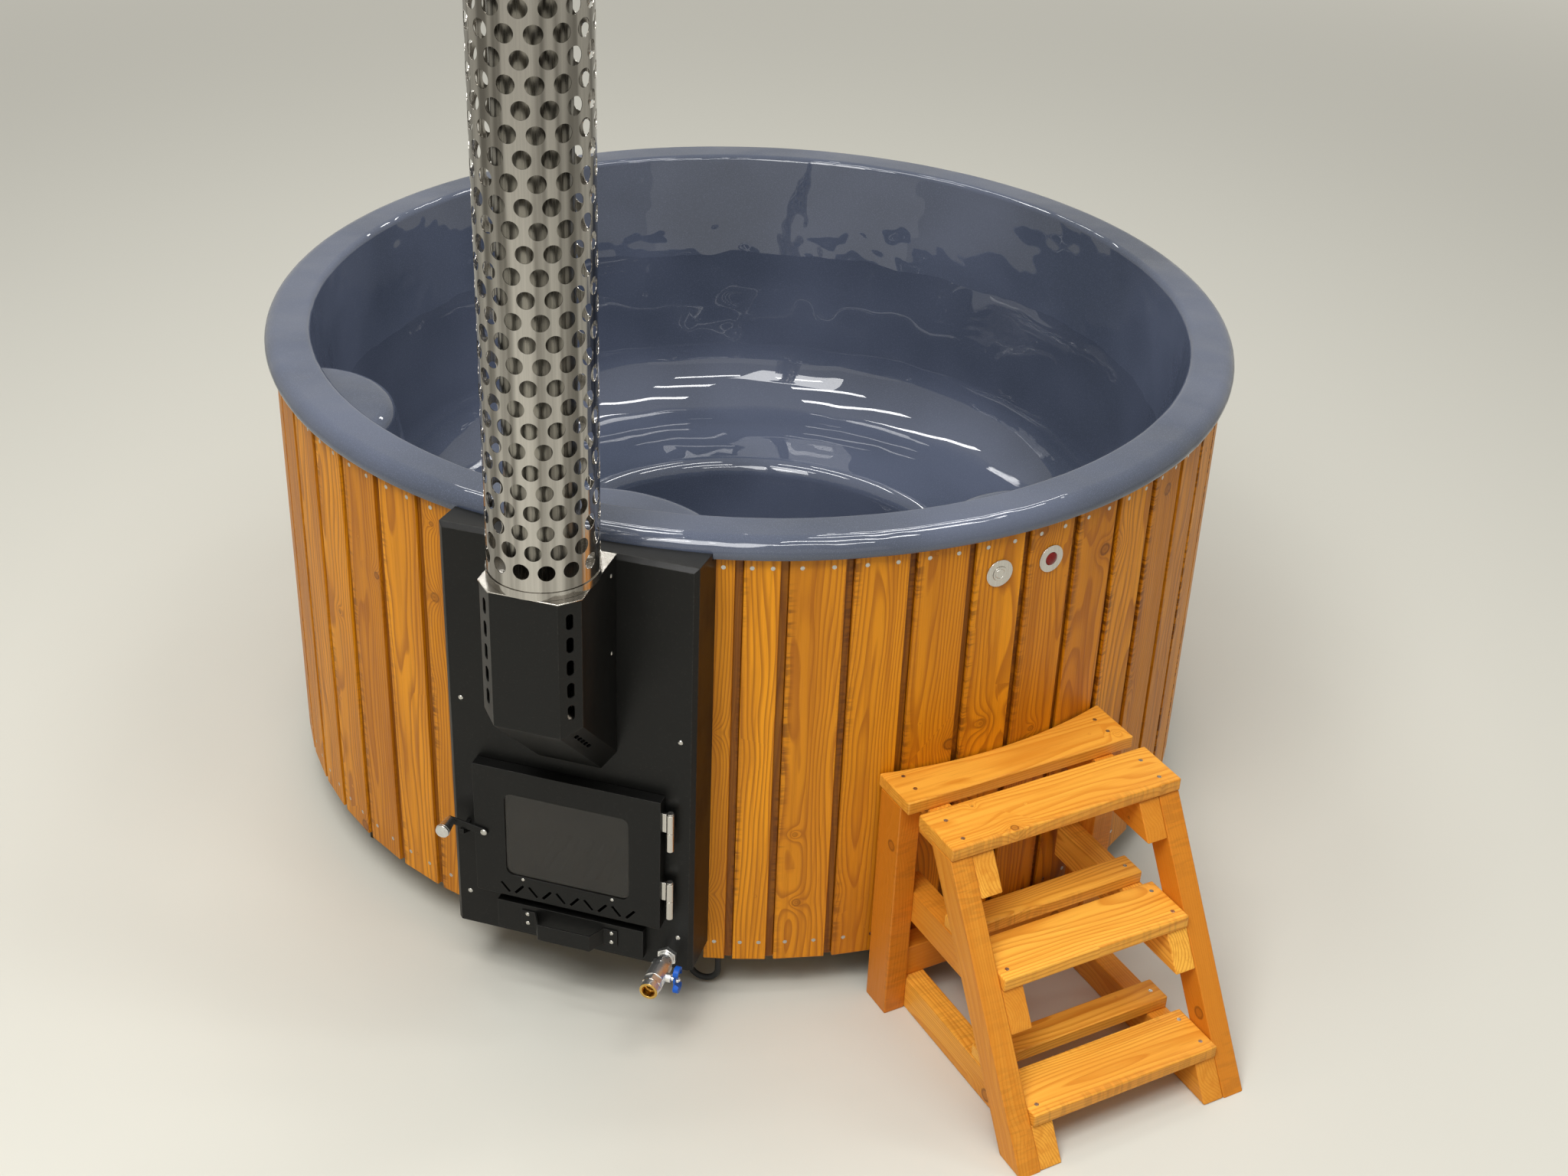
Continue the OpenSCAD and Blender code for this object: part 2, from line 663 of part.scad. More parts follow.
// Stove panel: a plan outline met by a side outline, each o in from the sheet's outside
module panel_block(o) {
  h = panel_half - o;
  d = fold - o*tan(22.5);
  back_y = clad_r - 82;
  intersection() {
    translate([0, 0, panel_z0 - (o > 0 ? 5 : 0)]) linear_extrude(panel_z1 - panel_z0 + 10) polygon([[-h, -back_y], [-h, -panel_y + o + d], [-h + d, -panel_y + o],
      [h - d, -panel_y + o], [h, -panel_y + o + d], [h, -back_y]]);
    translate([-300, 0, 0]) rotate([90, 0, 90]) linear_extrude(600) polygon([[-panel_y + o, 0], [-panel_y + o, panel_z1 - o - d],
      [-panel_y + o + d, panel_z1 - o], [-back_y, panel_z1 - o - (panel_y - back_y)*tan(panel_slope)], [-back_y, 0]]);
  }
}
module flue_line(d, l) { translate([0, -guard_y, elbow_z]) rotate([-135, 0, 0]) cylinder(d=d, h=l); }
module panel_spots() {
  for (s = [-1, 1], z = [panel_screw_low, panel_screw_high]) translate([s*(panel_half - panel_screw_in), -panel_y, panel_z0 + z]) rotate([90, 0, 0]) children();
}
module stove_panel() {
  color(black) difference() {
    panel_block(0);
    panel_block(sheet_t);
    cylinder(r=clad_r + touch, h=2000, $fn=big);
    translate([0, 0, rim_top - rim_roll_r*1.6]) cylinder(r=rim_r + 1.5, h=200, $fn=big);
    slab(-mouth[0], mouth[0], panel_y - 10, panel_y + 5, mouth[1], mouth[2]);
    slab(-tray_half - 3, tray_half + 3, panel_y - 10, panel_y + 5, tray_z0 - 2, tray_z1 + 4);
    flue_line(flue_d + 6, 200);
    in_valve() along_y(panel_y - 10, panel_y + 5, nipple_d + 2*touch);
    panel_spots() translate([0, 0, -6]) cylinder(d=5.4, h=12, $fn=24);
  }
}
module button_head(d, l) {
  intersection() { translate([0, 0, -d*0.35]) sphere(d=d*1.25); cylinder(d=d, h=d); }
  translate([0, 0, -l]) cylinder(d=d*0.5, h=l + 0.5, $fn=24);
}
module panel_screws() {
  color(steel) {
    panel_spots() button_head(9.5, 10);
    for (s = [-1, 1], z = [elbow_z + 42, cover_top - 30]) translate([s*cover_w/2, -panel_y - 22, z]) rotate([0, s*90, 0]) button_head(8, 5);
  }
}

// Stove: the plan of the jacket, o in from its outside, open to the front
module stove_plan(o, front) {
  h = jacket_w/2;
  c = jacket_back + jacket_r;
  translate([-h + o, -front]) square([2*h - 2*o, front - c]);
  translate([-h + jacket_r, -c - 1]) square([2*h - 2*jacket_r, jacket_r - o + 1]);
  for (s = [-1, 1]) translate([s*(h - jacket_r), -c]) circle(r=jacket_r - o);
}
module water_jacket() {
  color([0.6, 0.6, 0.6]) difference() {
    translate([0, 0, stove_z0 + chamber_t + touch]) linear_extrude(stove_z1 - stove_z0 - chamber_t - touch) stove_plan(0, plate_y - chamber_t - touch);
    translate([0, 0, stove_z0 - 1]) linear_extrude(stove_z1 - stove_z0 - jacket_t + 1) stove_plan(jacket_t, plate_y + 5);
    for (z = [water_z0, water_z1]) translate([0, 0, z]) along_y(jacket_back - 9, jacket_back + 9, water_d + 2*touch);
  }
}
module fire_chamber() {
  w = jacket_t + water_gap;
  color([0.25, 0.24, 0.23]) difference() {
    union() {
      translate([0, 0, stove_z0]) linear_extrude(chamber_t) stove_plan(0, plate_y);
      translate([0, 0, stove_z0]) linear_extrude(stove_z1 - stove_z0 - w) stove_plan(w, plate_y - 1);
      slab(-jacket_w/2, jacket_w/2, plate_y - chamber_t, plate_y, stove_z0, stove_z1);
    }
    translate([0, 0, stove_z0 + chamber_t]) linear_extrude(stove_z1 - stove_z0 - w - 2*chamber_t) stove_plan(w + chamber_t, plate_y - chamber_t);
    slab(-mouth[0] + 4, mouth[0] - 4, plate_y - 30, plate_y + 5, mouth[1] + 4, mouth[2] - 4);
    slab(-110, 110, jacket_back + 138, plate_y - 60, stove_z0 - 5, stove_z0 + 20);
    flue_line(flue_d + 1, 175);
  }
}
module fire_grate() {
  color([0.2, 0.2, 0.2]) translate([0, 0, stove_z0 + chamber_t + touch]) difference() {
    slab(-128, 128, jacket_back + 123, plate_y - 40, 0, 12);
    for (x = [-100:25:100]) slab(x - 6, x + 6, jacket_back + 146, plate_y - 66, -1, 13);
  }
}
module flame_baffle() {
  color([0.3, 0.28, 0.26]) intersection() {
    translate([0, 0, stove_z1 - 242]) linear_extrude(6) stove_plan(chamber_in + touch, plate_y);
    slab(-jacket_w, jacket_w, jacket_back - 100, plate_y - 115, stove_z0, stove_z1);
  }
}
module ash_box() {
  color([0.2, 0.2, 0.2]) difference() {
    slab(-tray_half - 4, tray_half + 4, plate_y - ash_l - 12, plate_y, tray_z0 - 2 - touch, stove_z0 - touch);
    slab(-tray_half - 2, tray_half + 2, plate_y - ash_l - 10, plate_y + 5, tray_z0 - touch, stove_z0 + 5);
  }
}
module flue_elbow() {
  color(steel) difference() {
    both_ways() flue_up(flue_d, 0);
    both_ways() flue_up(flue_d - 2*flue_t, 50);
    slab(-200, 200, jacket_back - 200, plate_y + 0.1, 0, cover_top);
  }
}

// Flue cover: an upright half-octagon box and its mirror image below the bend
module cover_plan(o, b) {
  w = cover_w/2 - o;
  f = cover_flat - o*(2 - sqrt(2))*0.5;
  y = panel_y + cover_reach - o;
  polygon([[-w, -panel_y + b], [-w, -y + f], [-w + f, -y], [w - f, -y], [w, -y + f], [w, -panel_y + b]]);
}
module bend_flip() {
  y = panel_y + cover_reach;
  translate([0, -y, cover_bend]) mirror([0, -sin(22.5), cos(22.5)]) translate([0, y, -cover_bend]) children();
}
module both_ways() { children(); bend_flip() children(); }
module above_bend() {
  translate([0, -panel_y - cover_reach, cover_bend]) rotate([22.5, 0, 0]) translate([-400, -400, 0]) cube([800, 1200, 1200]);
}
module flue_up(d, more) {
  intersection() {
    translate([0, -guard_y, elbow_z - d]) cylinder(d=d, h=elbow_top - elbow_z + d + more);
    above_bend();
  }
}
module cover_solid(o) {
  intersection() {
    translate([0, 0, cover_bend - 500]) linear_extrude(900) cover_plan(o, 700);
    bend_flip() translate([0, 0, cover_bend - 500]) linear_extrude(900) cover_plan(o, 700);
  }
}
module vent(l, w) {
  rotate([90, 0, 0]) translate([0, 0, -8]) {
    for (s = [-1, 1]) translate([0, s*(l - w)/2, 0]) cylinder(d=w, h=16, $fn=24);
    translate([-w/2, -(l - w)/2, 0]) cube([w, l - w, 16]);
  }
}
module flat_at(s, z) {
  translate([s*(cover_w/2 - cover_flat/2), -panel_y - cover_reach + cover_flat/2, z]) rotate([0, 0, s*45]) children();
}
module flue_cover() {
  color(black) difference() {
    cover_solid(0);
    cover_solid(2);
    slab(-200, 200, 0, panel_y + touch, 0, cover_top + 600);
    slab(-200, 200, 0, panel_y + cover_reach + 100, cover_top, cover_top + 600);
    for (s = [-1, 1], k = [0:vents - 1]) {
      flat_at(s, cover_top - 37 - k*vent_pitch) vent(30, 13);
      bend_flip() flat_at(s, cover_bend + 36 + k*19) vent(16, 8);
    }
    for (s = [-1, 1], z = [elbow_z + 42, cover_top - 30]) translate([s*cover_w/2, -panel_y - 22, z]) rotate([0, 90, 0]) cylinder(d=4.4, h=12, center=true, $fn=24);
  }
}
module cover_plate() {
  color(steel) difference() {
    translate([0, 0, cover_top + touch]) linear_extrude(plate_t) cover_plan(-2, -touch);
    translate([0, -guard_y, cover_top - 5]) cylinder(d=flue_d + 2*touch, h=20);
  }
}
module tube(d, t, z0, z1) { translate([0, -guard_y, z0]) difference() { cylinder(d=d, h=z1 - z0, $fn=96); translate([0, 0, -1]) cylinder(d=d - 2*t, h=z1 - z0 + 2, $fn=96); } }
module flue_pipes() {
  color(steel) {
    tube(sleeve_d, flue_t, guard_z, guard_z + pipe_l);
    tube(sleeve_d, flue_t, guard_z + pipe_l + touch, guard_z + 2*pipe_l);
    tube(flue_d, flue_t, guard_z + pipe_l - pipe_lap, guard_z + pipe_l + touch + 2);
    tube(sleeve_d, flue_t + touch + flue_t, guard_z + pipe_l + touch, guard_z + pipe_l + touch + 3);
  }
}
module heat_guard() {
  color(steel) difference() {
    tube(guard_d, guard_t, guard_z, guard_z + guard_l);
    for (r = [0:guard_rows - 1], k = [0:guard_around - 1]) translate([0, -guard_y, guard_z + guard_first + r*guard_pitch])
      rotate([0, 0, 360/guard_around*(k + (r % 2)/2)]) rotate([90, 0, 0]) translate([0, 0, guard_d/2 - 12])
      cylinder(d=guard_hole, h=20, $fn=32);
  }
}
module guard_rings() {
  color(steel) {
    for (z = [guard_z, guard_z + guard_l - 14]) tube(guard_d + 2*touch + 3, 1.5, z, z + 14);
    for (z = [guard_z + 20, guard_z + guard_l - 26], a = [30, 150, 270]) translate([0, -guard_y, z]) intersection() {
      rotate([0, 0, a]) translate([0, -8, 0]) cube([120, 16, 1.5]);
      difference() { cylinder(d=guard_d - 2*guard_t - 2*touch, h=10); translate([0, 0, -1]) cylinder(d=sleeve_d + 2*touch, h=12); }
    }
  }
}
module rain_cap() {
  r = cap_d/2;
  color(steel) translate([0, -guard_y, 0]) {
    translate([0, 0, cap_z]) rotate_extrude($fn=96) polygon([[0, cap_h], [r, 0], [r, 1.2], [0, cap_h + 1.2]]);
    for (a = [30, 150, 270]) rotate([0, 0, a]) translate([sleeve_d/2 + touch, -9, guard_z + 2*pipe_l - 40])
      cube([1.5, 18, 40 + cap_gap + cap_h*(1 - (sleeve_d/2 + touch + 2.2)/r) - touch]);
  }
}
module behind_wall(z) { if (z == water_z0) difference() { cylinder(r=jacket_back + 20, h=rim_top); bowl_space(0); } else lobes(0, bench_z - 3); }
module water_pipes() {
  color([0.7, 0.7, 0.7]) for (z = [water_z0, water_z1]) translate([0, 0, z]) difference() {
    intersection() {
      along_y(z == water_z0 ? foot_r - 50 : jacket_back - 82, jacket_back + 2, water_d);
      translate([0, 0, -z]) behind_wall(z);
    }
    along_y(0, rim_r, water_d - 2*water_t);
  }
}
module pipe_grilles() {
  color(steel) for (z = [water_z0, water_z1]) difference() {
    translate([0, 0, z]) along_y(z == water_z0 ? foot_r - 42 : jacket_back - 82, jacket_back, grille_d);
    behind_wall(z);
    for (x = [-30:12:30]) translate([x, 0, z]) slab(-2.5, 2.5, 0, rim_r, -sqrt(1300 - x*x), sqrt(1300 - x*x));
  }
}

// Fire door
module rounded(w, z0, z1, r) {
  translate([-w/2 + r, z0]) square([w - 2*r, z1 - z0]);
  translate([-w/2, z0 + r]) square([w, z1 - z0 - 2*r]);
  for (x = [-w/2 + r, w/2 - r], z = [z0 + r, z1 - r]) translate([x, z]) circle(r=r, $fn=48);
}
module face(y, t) { translate([0, -y + t, 0]) rotate([90, 0, 0]) linear_extrude(t) children(); }
module glass_spots() { for (s = [-1, 1]) translate([s*window_w*0.365, -door_y, window_z0 - glass_lap - touch - 1.9]) rotate([90, 0, 0]) children(); }
module door_pan() {
  w = door_w/2;
  color(black) difference() {
    slab(-w, w, panel_y + 0.8, door_y, door_z0, door_z1);
    slab(-w + sheet_t, w - sheet_t, panel_y - 1, door_y - sheet_t, door_z0 + sheet_t, door_z1 - sheet_t);
    face(door_y + 5, 20) rounded(window_w, window_z0, window_z1, window_r);
    for (k = [0:air_slots - 1]) translate([(k - (air_slots - 1)/2)*27.6, 0, door_z0 + 19]) rotate([0, k % 2 == 0 ? -40 : 40, 0]) slab(-2.5, 2.5, door_y - 10, door_y + 5, -13, 13);
    glass_spots() translate([0, 0, -20]) cylinder(d=3.8, h=40, $fn=24);
    translate([-latch_x, -door_y - 5, latch_z]) rotate([-90, 0, 0]) cylinder(d=8 + 2*run_gap, h=20);
  }
}
module door_glass() {
  color([0.3, 0.28, 0.26, 0.6]) face(glass_y, glass_t) rounded(window_w + 2*glass_lap, window_z0 - glass_lap, window_z1 + glass_lap, window_r);
}
module glass_gasket() {
  color([0.15, 0.15, 0.15]) face(glass_y - glass_t - touch, 3) difference() {
    rounded(window_w + 2*glass_lap, window_z0 - glass_lap, window_z1 + glass_lap, window_r);
    rounded(window_w - 10, window_z0 + 5, window_z1 - 5, window_r - 5);
  }
}
module glass_frame() {
  color(black) difference() {
    face(glass_y - glass_t - 2*touch - 3, 2.5) difference() {
      rounded(window_w + 44, window_z0 - 24, window_z1 + 18, window_r);
      rounded(window_w - 6, window_z0 + 3, window_z1 - 3, window_r - 5);
    }
    glass_spots() translate([0, 0, -30]) cylinder(d=3.8, h=40, $fn=24);
  }
}
module glass_screws() { color(steel) glass_spots() button_head(6.8, 16); }
module leaf_hinge(z, low) {
  l = hinge_l/2;
  z0 = z + (low ? 0 : l + touch/2);
  h = l - touch/2;
  difference() {
    union() {
      translate([hinge_x, -hinge_y, z0]) cylinder(d=barrel_d, h=h);
      if (low) slab(hinge_x - 3, hinge_x + 3, panel_y, hinge_y - barrel_d/2 + 3, z0, z0 + h);
      else slab(door_w/2, hinge_x - barrel_d/2 + 3, hinge_y - 3, hinge_y + 3, z0, z0 + h);
    }
    translate([hinge_x, -hinge_y, z0 - 1]) cylinder(d=pin_d + 2*run_gap, h=h + 2);
  }
}
module door_knuckles() { color(steel) for (z = [hinge_z0, hinge_z1]) leaf_hinge(z, false); }
module hinge_bases() { color(steel) for (z = [hinge_z0, hinge_z1]) leaf_hinge(z, true); }
module hinge_pins() {
  color(steel) for (z = [hinge_z0, hinge_z1]) translate([hinge_x, -hinge_y, z]) {
    cylinder(d=pin_d, h=hinge_l + 1);
    translate([0, 0, hinge_l + touch]) cylinder(d=pin_d + 4, h=2.5);
  }
}

// Latch: a flat lever on the door that drops on the catch beside it
module latch_lever() {
  color(black) translate([-latch_x, -lever_y, latch_z]) rotate([0, latch_rise, 0]) difference() {
    union() {
      rotate([90, 0, 0]) cylinder(d=latch_w, h=latch_t);
      translate([-latch_l, 0, 0]) rotate([90, 0, 0]) cylinder(d=latch_w, h=latch_t);
      translate([-latch_l, -latch_t, -latch_w/2]) cube([latch_l, latch_t, latch_w]);
    }
    translate([0, 1, 0]) rotate([90, 0, 0]) cylinder(d=8 + 2*run_gap, h=latch_t + 2);
    translate([-latch_l, 1, 0]) rotate([90, 0, 0]) cylinder(d=6.4, h=latch_t + 2);
  }
}
module latch_knob() {
  color(steel) translate([knob_at[0], 0, knob_at[1]]) {
    translate([0, -lever_y - latch_t, 0]) rotate([90, 0, 0]) cylinder(d1=knob_neck, d2=knob_d, h=knob_l - 4);
    along_y(lever_y + latch_t + knob_l - 4.5, lever_y + latch_t + knob_l, knob_d);
    along_y(lever_y + 0.5, lever_y + latch_t + 1, 6);
  }
}
module latch_screw() {
  color(steel) translate([-latch_x, 0, latch_z]) {
    along_y(door_y - sheet_t - 4, lever_y + latch_t + touch, 8);
    translate([0, -lever_y - latch_t - touch, 0]) rotate([90, 0, 0]) button_head(13, 1);
    along_y(door_y - sheet_t - 4, door_y - sheet_t - touch, 13);
  }
}
module latch_catch() {
  x = -door_w/2 - 22.5;
  z = latch_z + (-x - 4 - latch_x)*tan(latch_rise) - latch_w/2/cos(latch_rise) - touch;
  color(black) translate([x - 4, 0, 0]) rotate([90, 0, 90]) linear_extrude(8)
    polygon([[-panel_y, z - 26], [-panel_y, z], [-lever_y - latch_t - 4, z], [-lever_y - latch_t - 4, z - 9]]);
}

// Ash drawer
module ash_tray() {
  color([0.3, 0.3, 0.3]) difference() {
    slab(-tray_half, tray_half, plate_y - ash_l, panel_y + 0.7, tray_z0, tray_z1);
    slab(-tray_half + 2, tray_half - 2, plate_y - ash_l + 2, panel_y - 2, tray_z0 + 2, tray_z1 + 5);
  }
}
module pull_spots() { for (s = [-1, 1], z = [-10.5, 10.5]) translate([s*pull_w/2, -panel_y - ash_depth, (ash_z0 + ash_z1)/2 + 4 + z]) rotate([90, 0, 0]) children(); }
module ash_front() {
  color(black) difference() {
    slab(-ash_w/2, ash_w/2, panel_y + 0.8, panel_y + ash_depth, ash_z0, ash_z1);
    slab(-ash_w/2 + 2, ash_w/2 - 2, panel_y + 2.8, panel_y + ash_depth - 2, ash_z0 + 2, ash_z1 - 2);
    pull_spots() translate([0, 0, -5]) cylinder(d=4.4, h=12, $fn=24);
  }
}
module ash_pull() {
  y = panel_y + ash_depth;
  a = pull_w/2;
  color(black) difference() {
    translate([0, 0, (ash_z0 + ash_z1)/2 + 4 - pull_h/2]) linear_extrude(pull_h) polygon([
      [-a - 12, -y], [-a + 16, -y], [-a + 34, -y - pull_reach + 3], [a - 34, -y - pull_reach + 3], [a - 16, -y], [a + 12, -y],
      [a + 12, -y - 3], [a - 14.5, -y - 3], [a - 32.5, -y - pull_reach], [-a + 32.5, -y - pull_reach], [-a + 14.5, -y - 3], [-a - 12, -y - 3]]);
    pull_spots() translate([0, 0, -5]) cylinder(d=4.4, h=12, $fn=24);
  }
}
module pull_screws() { color(steel) pull_spots() translate([0, 0, 3]) button_head(8.5, 8); }

// Button and indicator, each in the middle of a board
module on_board(k) { b = boards[3 + k]; round_at(face_mid(b)) translate([0, -face_r(b), button_z]) rotate([90, 0, 0]) children(); }
module bezel(bore) {
  difference() {
    union() {
      translate([0, 0, 0.1]) cylinder(d=bezel_d, h=bezel_t - 0.1);
      translate([0, 0, -board_t - 6]) cylinder(d=cap_button_d + 6, h=board_t + 7);
    }
    translate([0, 0, -8 - button_travel - touch]) cylinder(d=bore, h=40);
  }
}
module button_bezel() { color(steel) on_board(3) bezel(cap_button_d + 2*run_gap); }
module button_cap() {
  color(steel) on_board(3) translate([0, 0, -8]) difference() {
    cylinder(d=cap_button_d, h=8 + bezel_t + button_travel);
    translate([0, 0, 8 + bezel_t + button_travel - 0.6]) difference() { cylinder(d=19, h=2); translate([0, 0, -1]) cylinder(d=17, h=4); }
  }
}
module indicator_bezel() { color(steel) on_board(4) bezel(lens_d + 2*touch); }
module indicator_lens() {
  color([0.35, 0.03, 0.03]) on_board(4) intersection() {
    translate([0, 0, -8 - button_travel + touch]) cylinder(d=lens_d, h=30);
    translate([0, 0, -lens_d*0.75]) sphere(r=lens_d*0.75 + bezel_t + 4);
  }
}
module terminal_box() {
  color([0.5, 0.5, 0.5]) round_at((boards[5][0] + boards[5][1])/2) difference() {
    slab(-50, 50, hoop_r - 45, hoop_r, button_z - 156, button_z - 46);
    slab(-47, 47, hoop_r - 42, hoop_r - 3, button_z - 153, button_z - 49);
    slab(-8, 8, hoop_r - 60, hoop_r - 30, button_z - 161, button_z - 151);
  }
}
module cable_loop() {
  r = loop_r;
  top = [drain_z - drain_d/2 - touch, board_screw_z[0] - hoop_h/2 - touch];
  color(black) translate([valve_x + r, -cable_y, loop_z]) {
    rotate([90, 180, 0]) rotate_extrude(angle=180) translate([r, 0]) circle(d=cable_d, $fn=32);
    translate([-r, 0, 0]) cylinder(d=cable_d, h=top[0] - loop_z, $fn=32);
    translate([r, 0, 0]) cylinder(d=cable_d, h=top[1] - loop_z, $fn=32);
  }
}

// Steps: x along the treads, y out from the tub
module steps_at() { rotate([0, 0, steps_angle]) translate([steps_shift, -steps_back, 0]) children(); }
function level(k) = step_first + step_rise*(2 - k);
module step_sides() {
  h = steps_top - plank_t;
  color(wood) steps_at() for (s = [-1, 1]) {
    translate([s*(steps_w/2 - side_t/2) - side_t/2, -side_d, 0]) cube([side_t, side_d, h]);
    translate([s*(steps_w/2 - side_t/2) - side_t/2, 0, 0]) rotate([90, 0, 90]) linear_extrude(side_t)
      polygon([[-side_foot, 0], [-side_foot + side_run, 0], [-side_foot + side_run + h*slope, h], [-side_foot + h*slope, h]]);
  }
}
inner_w = steps_w - 2*side_t - 2;
function planks() = [
  [steps_w, -60, 96, 0, [18, 60], 0.43], [steps_w, tread_front[0] - plank_w, tread_front[0], 0, [35, 92], 0.43],
  [inner_w, 173, 173 + slat_w, 1, [slat_w/2], 0.45], [inner_w, tread_front[1] - plank_w, tread_front[1], 1, [25, 90], 0.45],
  [inner_w, tread_front[2] - plank_w - 35 - slat_w, tread_front[2] - plank_w - 35, 2, [slat_w/2], 0.45],
  [inner_w, tread_front[2] - plank_w, tread_front[2], 2, [25, 90], 0.45]];
module plank_spots(p) {
  y0 = p[1] < 0 ? 0 : p[1];
  for (s = [-1, 1], t = p[4]) translate([s*p[5]*p[0], -y0 - t, level(p[3])]) children();
}
module step_treads() {
  color(wood) difference() {
    steps_at() for (p = planks()) difference() {
      translate([-p[0]/2, -p[2], level(p[3]) - plank_t]) cube([p[0], p[2] - p[1], plank_t]);
      plank_spots(p) { translate([0, 0, -60]) cylinder(d=screw_d + 0.4, h=80, $fn=24); translate([0, 0, -3]) cylinder(d=screw_head_d + 0.4, h=10, $fn=24); }
    }
    cylinder(r=clad_r + steps_gap, h=steps_top + 10, $fn=big);
  }
}
module step_bearers() {
  color(wood) steps_at() for (s = [-1, 1], k = [0:2])
    let(z = level(k) - plank_t, f = [side_foot - 1 - (z - side_d)*slope, side_foot - 1 - z*slope])
    translate([s*(steps_w/2 - side_t*1.5) - side_t/2, 0, 0]) rotate([90, 0, 90]) linear_extrude(side_t)
      polygon([[-f[0], z - side_d], [-tub_side, z - side_d], [-tub_side, z], [-f[1], z]]);
}
module step_rail() {
  color(wood) steps_at() translate([-steps_w/2 + side_t, -side_t - tub_side, level(2) - plank_t]) cube([steps_w - 2*side_t, side_t, side_d]);
}
module step_screws() {
  color(steel) steps_at() for (p = planks()) plank_spots(p) {
    translate([0, 0, -2.6]) cylinder(d=screw_head_d, h=2.5, $fn=24);
    translate([0, 0, -plank_t - 25]) cylinder(d=screw_d, h=plank_t + 23, $fn=24);
  }
}

base_runners();
base_deck();
shell_seat();
frame_studs();
frame_hoops();
cladding_boards();
board_screws();
shell();
drain_strainer();
drain_pipe();
valve_nipple();
valve_body();
valve_outlet();
valve_ball();
valve_stem();
valve_handle();
valve_nut();
stove_panel();
panel_screws();
water_jacket();
fire_chamber();
fire_grate();
flame_baffle();
ash_box();
flue_elbow();
flue_cover();
cover_plate();
flue_pipes();
heat_guard();
guard_rings();
rain_cap();
water_pipes();
pipe_grilles();
door_pan();
door_glass();
glass_gasket();
glass_frame();
glass_screws();
door_knuckles();
hinge_bases();
hinge_pins();
latch_lever();
latch_knob();
latch_screw();
latch_catch();
ash_tray();
ash_front();
ash_pull();
pull_screws();
button_bezel();
button_cap();
indicator_bezel();
indicator_lens();
terminal_box();
cable_loop();
step_sides();
step_treads();
step_bearers();
step_rail();
step_screws();
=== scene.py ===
"""Looks of the round hot tub with its built-in wood stove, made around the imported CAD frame.

Every piece is in metres in the CAD's own frame: the tub's axis is x = y = 0, +Z is up and the stove faces -Y.
"""

import json
import logging
import math
import random
from dataclasses import dataclass
from enum import Enum
from typing import ClassVar, Sequence

import bmesh
import bpy
import numpy as np
from mathutils import Matrix, Vector


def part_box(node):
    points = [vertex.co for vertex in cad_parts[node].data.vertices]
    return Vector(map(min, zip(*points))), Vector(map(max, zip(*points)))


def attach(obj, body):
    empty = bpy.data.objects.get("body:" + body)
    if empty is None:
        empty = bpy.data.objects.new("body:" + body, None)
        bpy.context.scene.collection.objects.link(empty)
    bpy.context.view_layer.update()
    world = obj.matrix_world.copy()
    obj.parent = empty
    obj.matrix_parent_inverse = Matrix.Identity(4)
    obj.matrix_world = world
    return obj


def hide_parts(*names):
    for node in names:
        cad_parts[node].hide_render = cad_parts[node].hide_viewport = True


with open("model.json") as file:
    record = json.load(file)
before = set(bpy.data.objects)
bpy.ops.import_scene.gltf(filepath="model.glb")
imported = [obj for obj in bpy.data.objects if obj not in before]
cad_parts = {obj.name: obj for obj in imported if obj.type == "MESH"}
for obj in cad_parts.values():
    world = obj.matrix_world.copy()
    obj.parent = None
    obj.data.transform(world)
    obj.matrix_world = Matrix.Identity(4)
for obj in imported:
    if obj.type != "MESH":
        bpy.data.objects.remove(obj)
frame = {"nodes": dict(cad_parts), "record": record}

log = logging.getLogger("hot_tub")
logging.basicConfig(level=logging.INFO, format="%(name)s: %(message)s")

Point = tuple[float, float, float]
Colour = tuple[float, float, float, float]
Socket = bpy.types.NodeSocket
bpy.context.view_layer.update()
BODIES = {node: body for body, nodes in frame["record"]["behaviour"]["bodies"].items() for node in nodes}


class Form(Enum):
    """How a CAD node is shown: itself, as a merged smooth copy, or as a copy with rounded folds."""

    KEPT = "kept"
    SMOOTH = "smooth"
    ROUNDED = "rounded"


class Surface(Enum):
    """Where a wood finish reads its figure from: each timber's own grain, or the object's place."""

    GRAIN = "grain"
    OBJECT = "object"


# Colours


def from_srgb(red: int, green: int, blue: int) -> Colour:
    """Turn a screen colour into the renderer's linear one.

    Args:
        red: Screen value, 0 to 255.
        green: Screen value, 0 to 255.
        blue: Screen value, 0 to 255.

    Returns:
        Linear red, green and blue, and 1 for alpha.
    """
    shares = [value / 255 for value in (red, green, blue)]
    linear = [share / 12.92 if share <= 0.04045 else ((share + 0.055) / 1.055) ** 2.4 for share in shares]
    return (linear[0], linear[1], linear[2], 1.0)


def scaled(colour: Colour, share: float) -> Colour:
    """Return a colour made darker or lighter by a share."""
    return (colour[0] * share, colour[1] * share, colour[2] * share, 1.0)


# Node trees


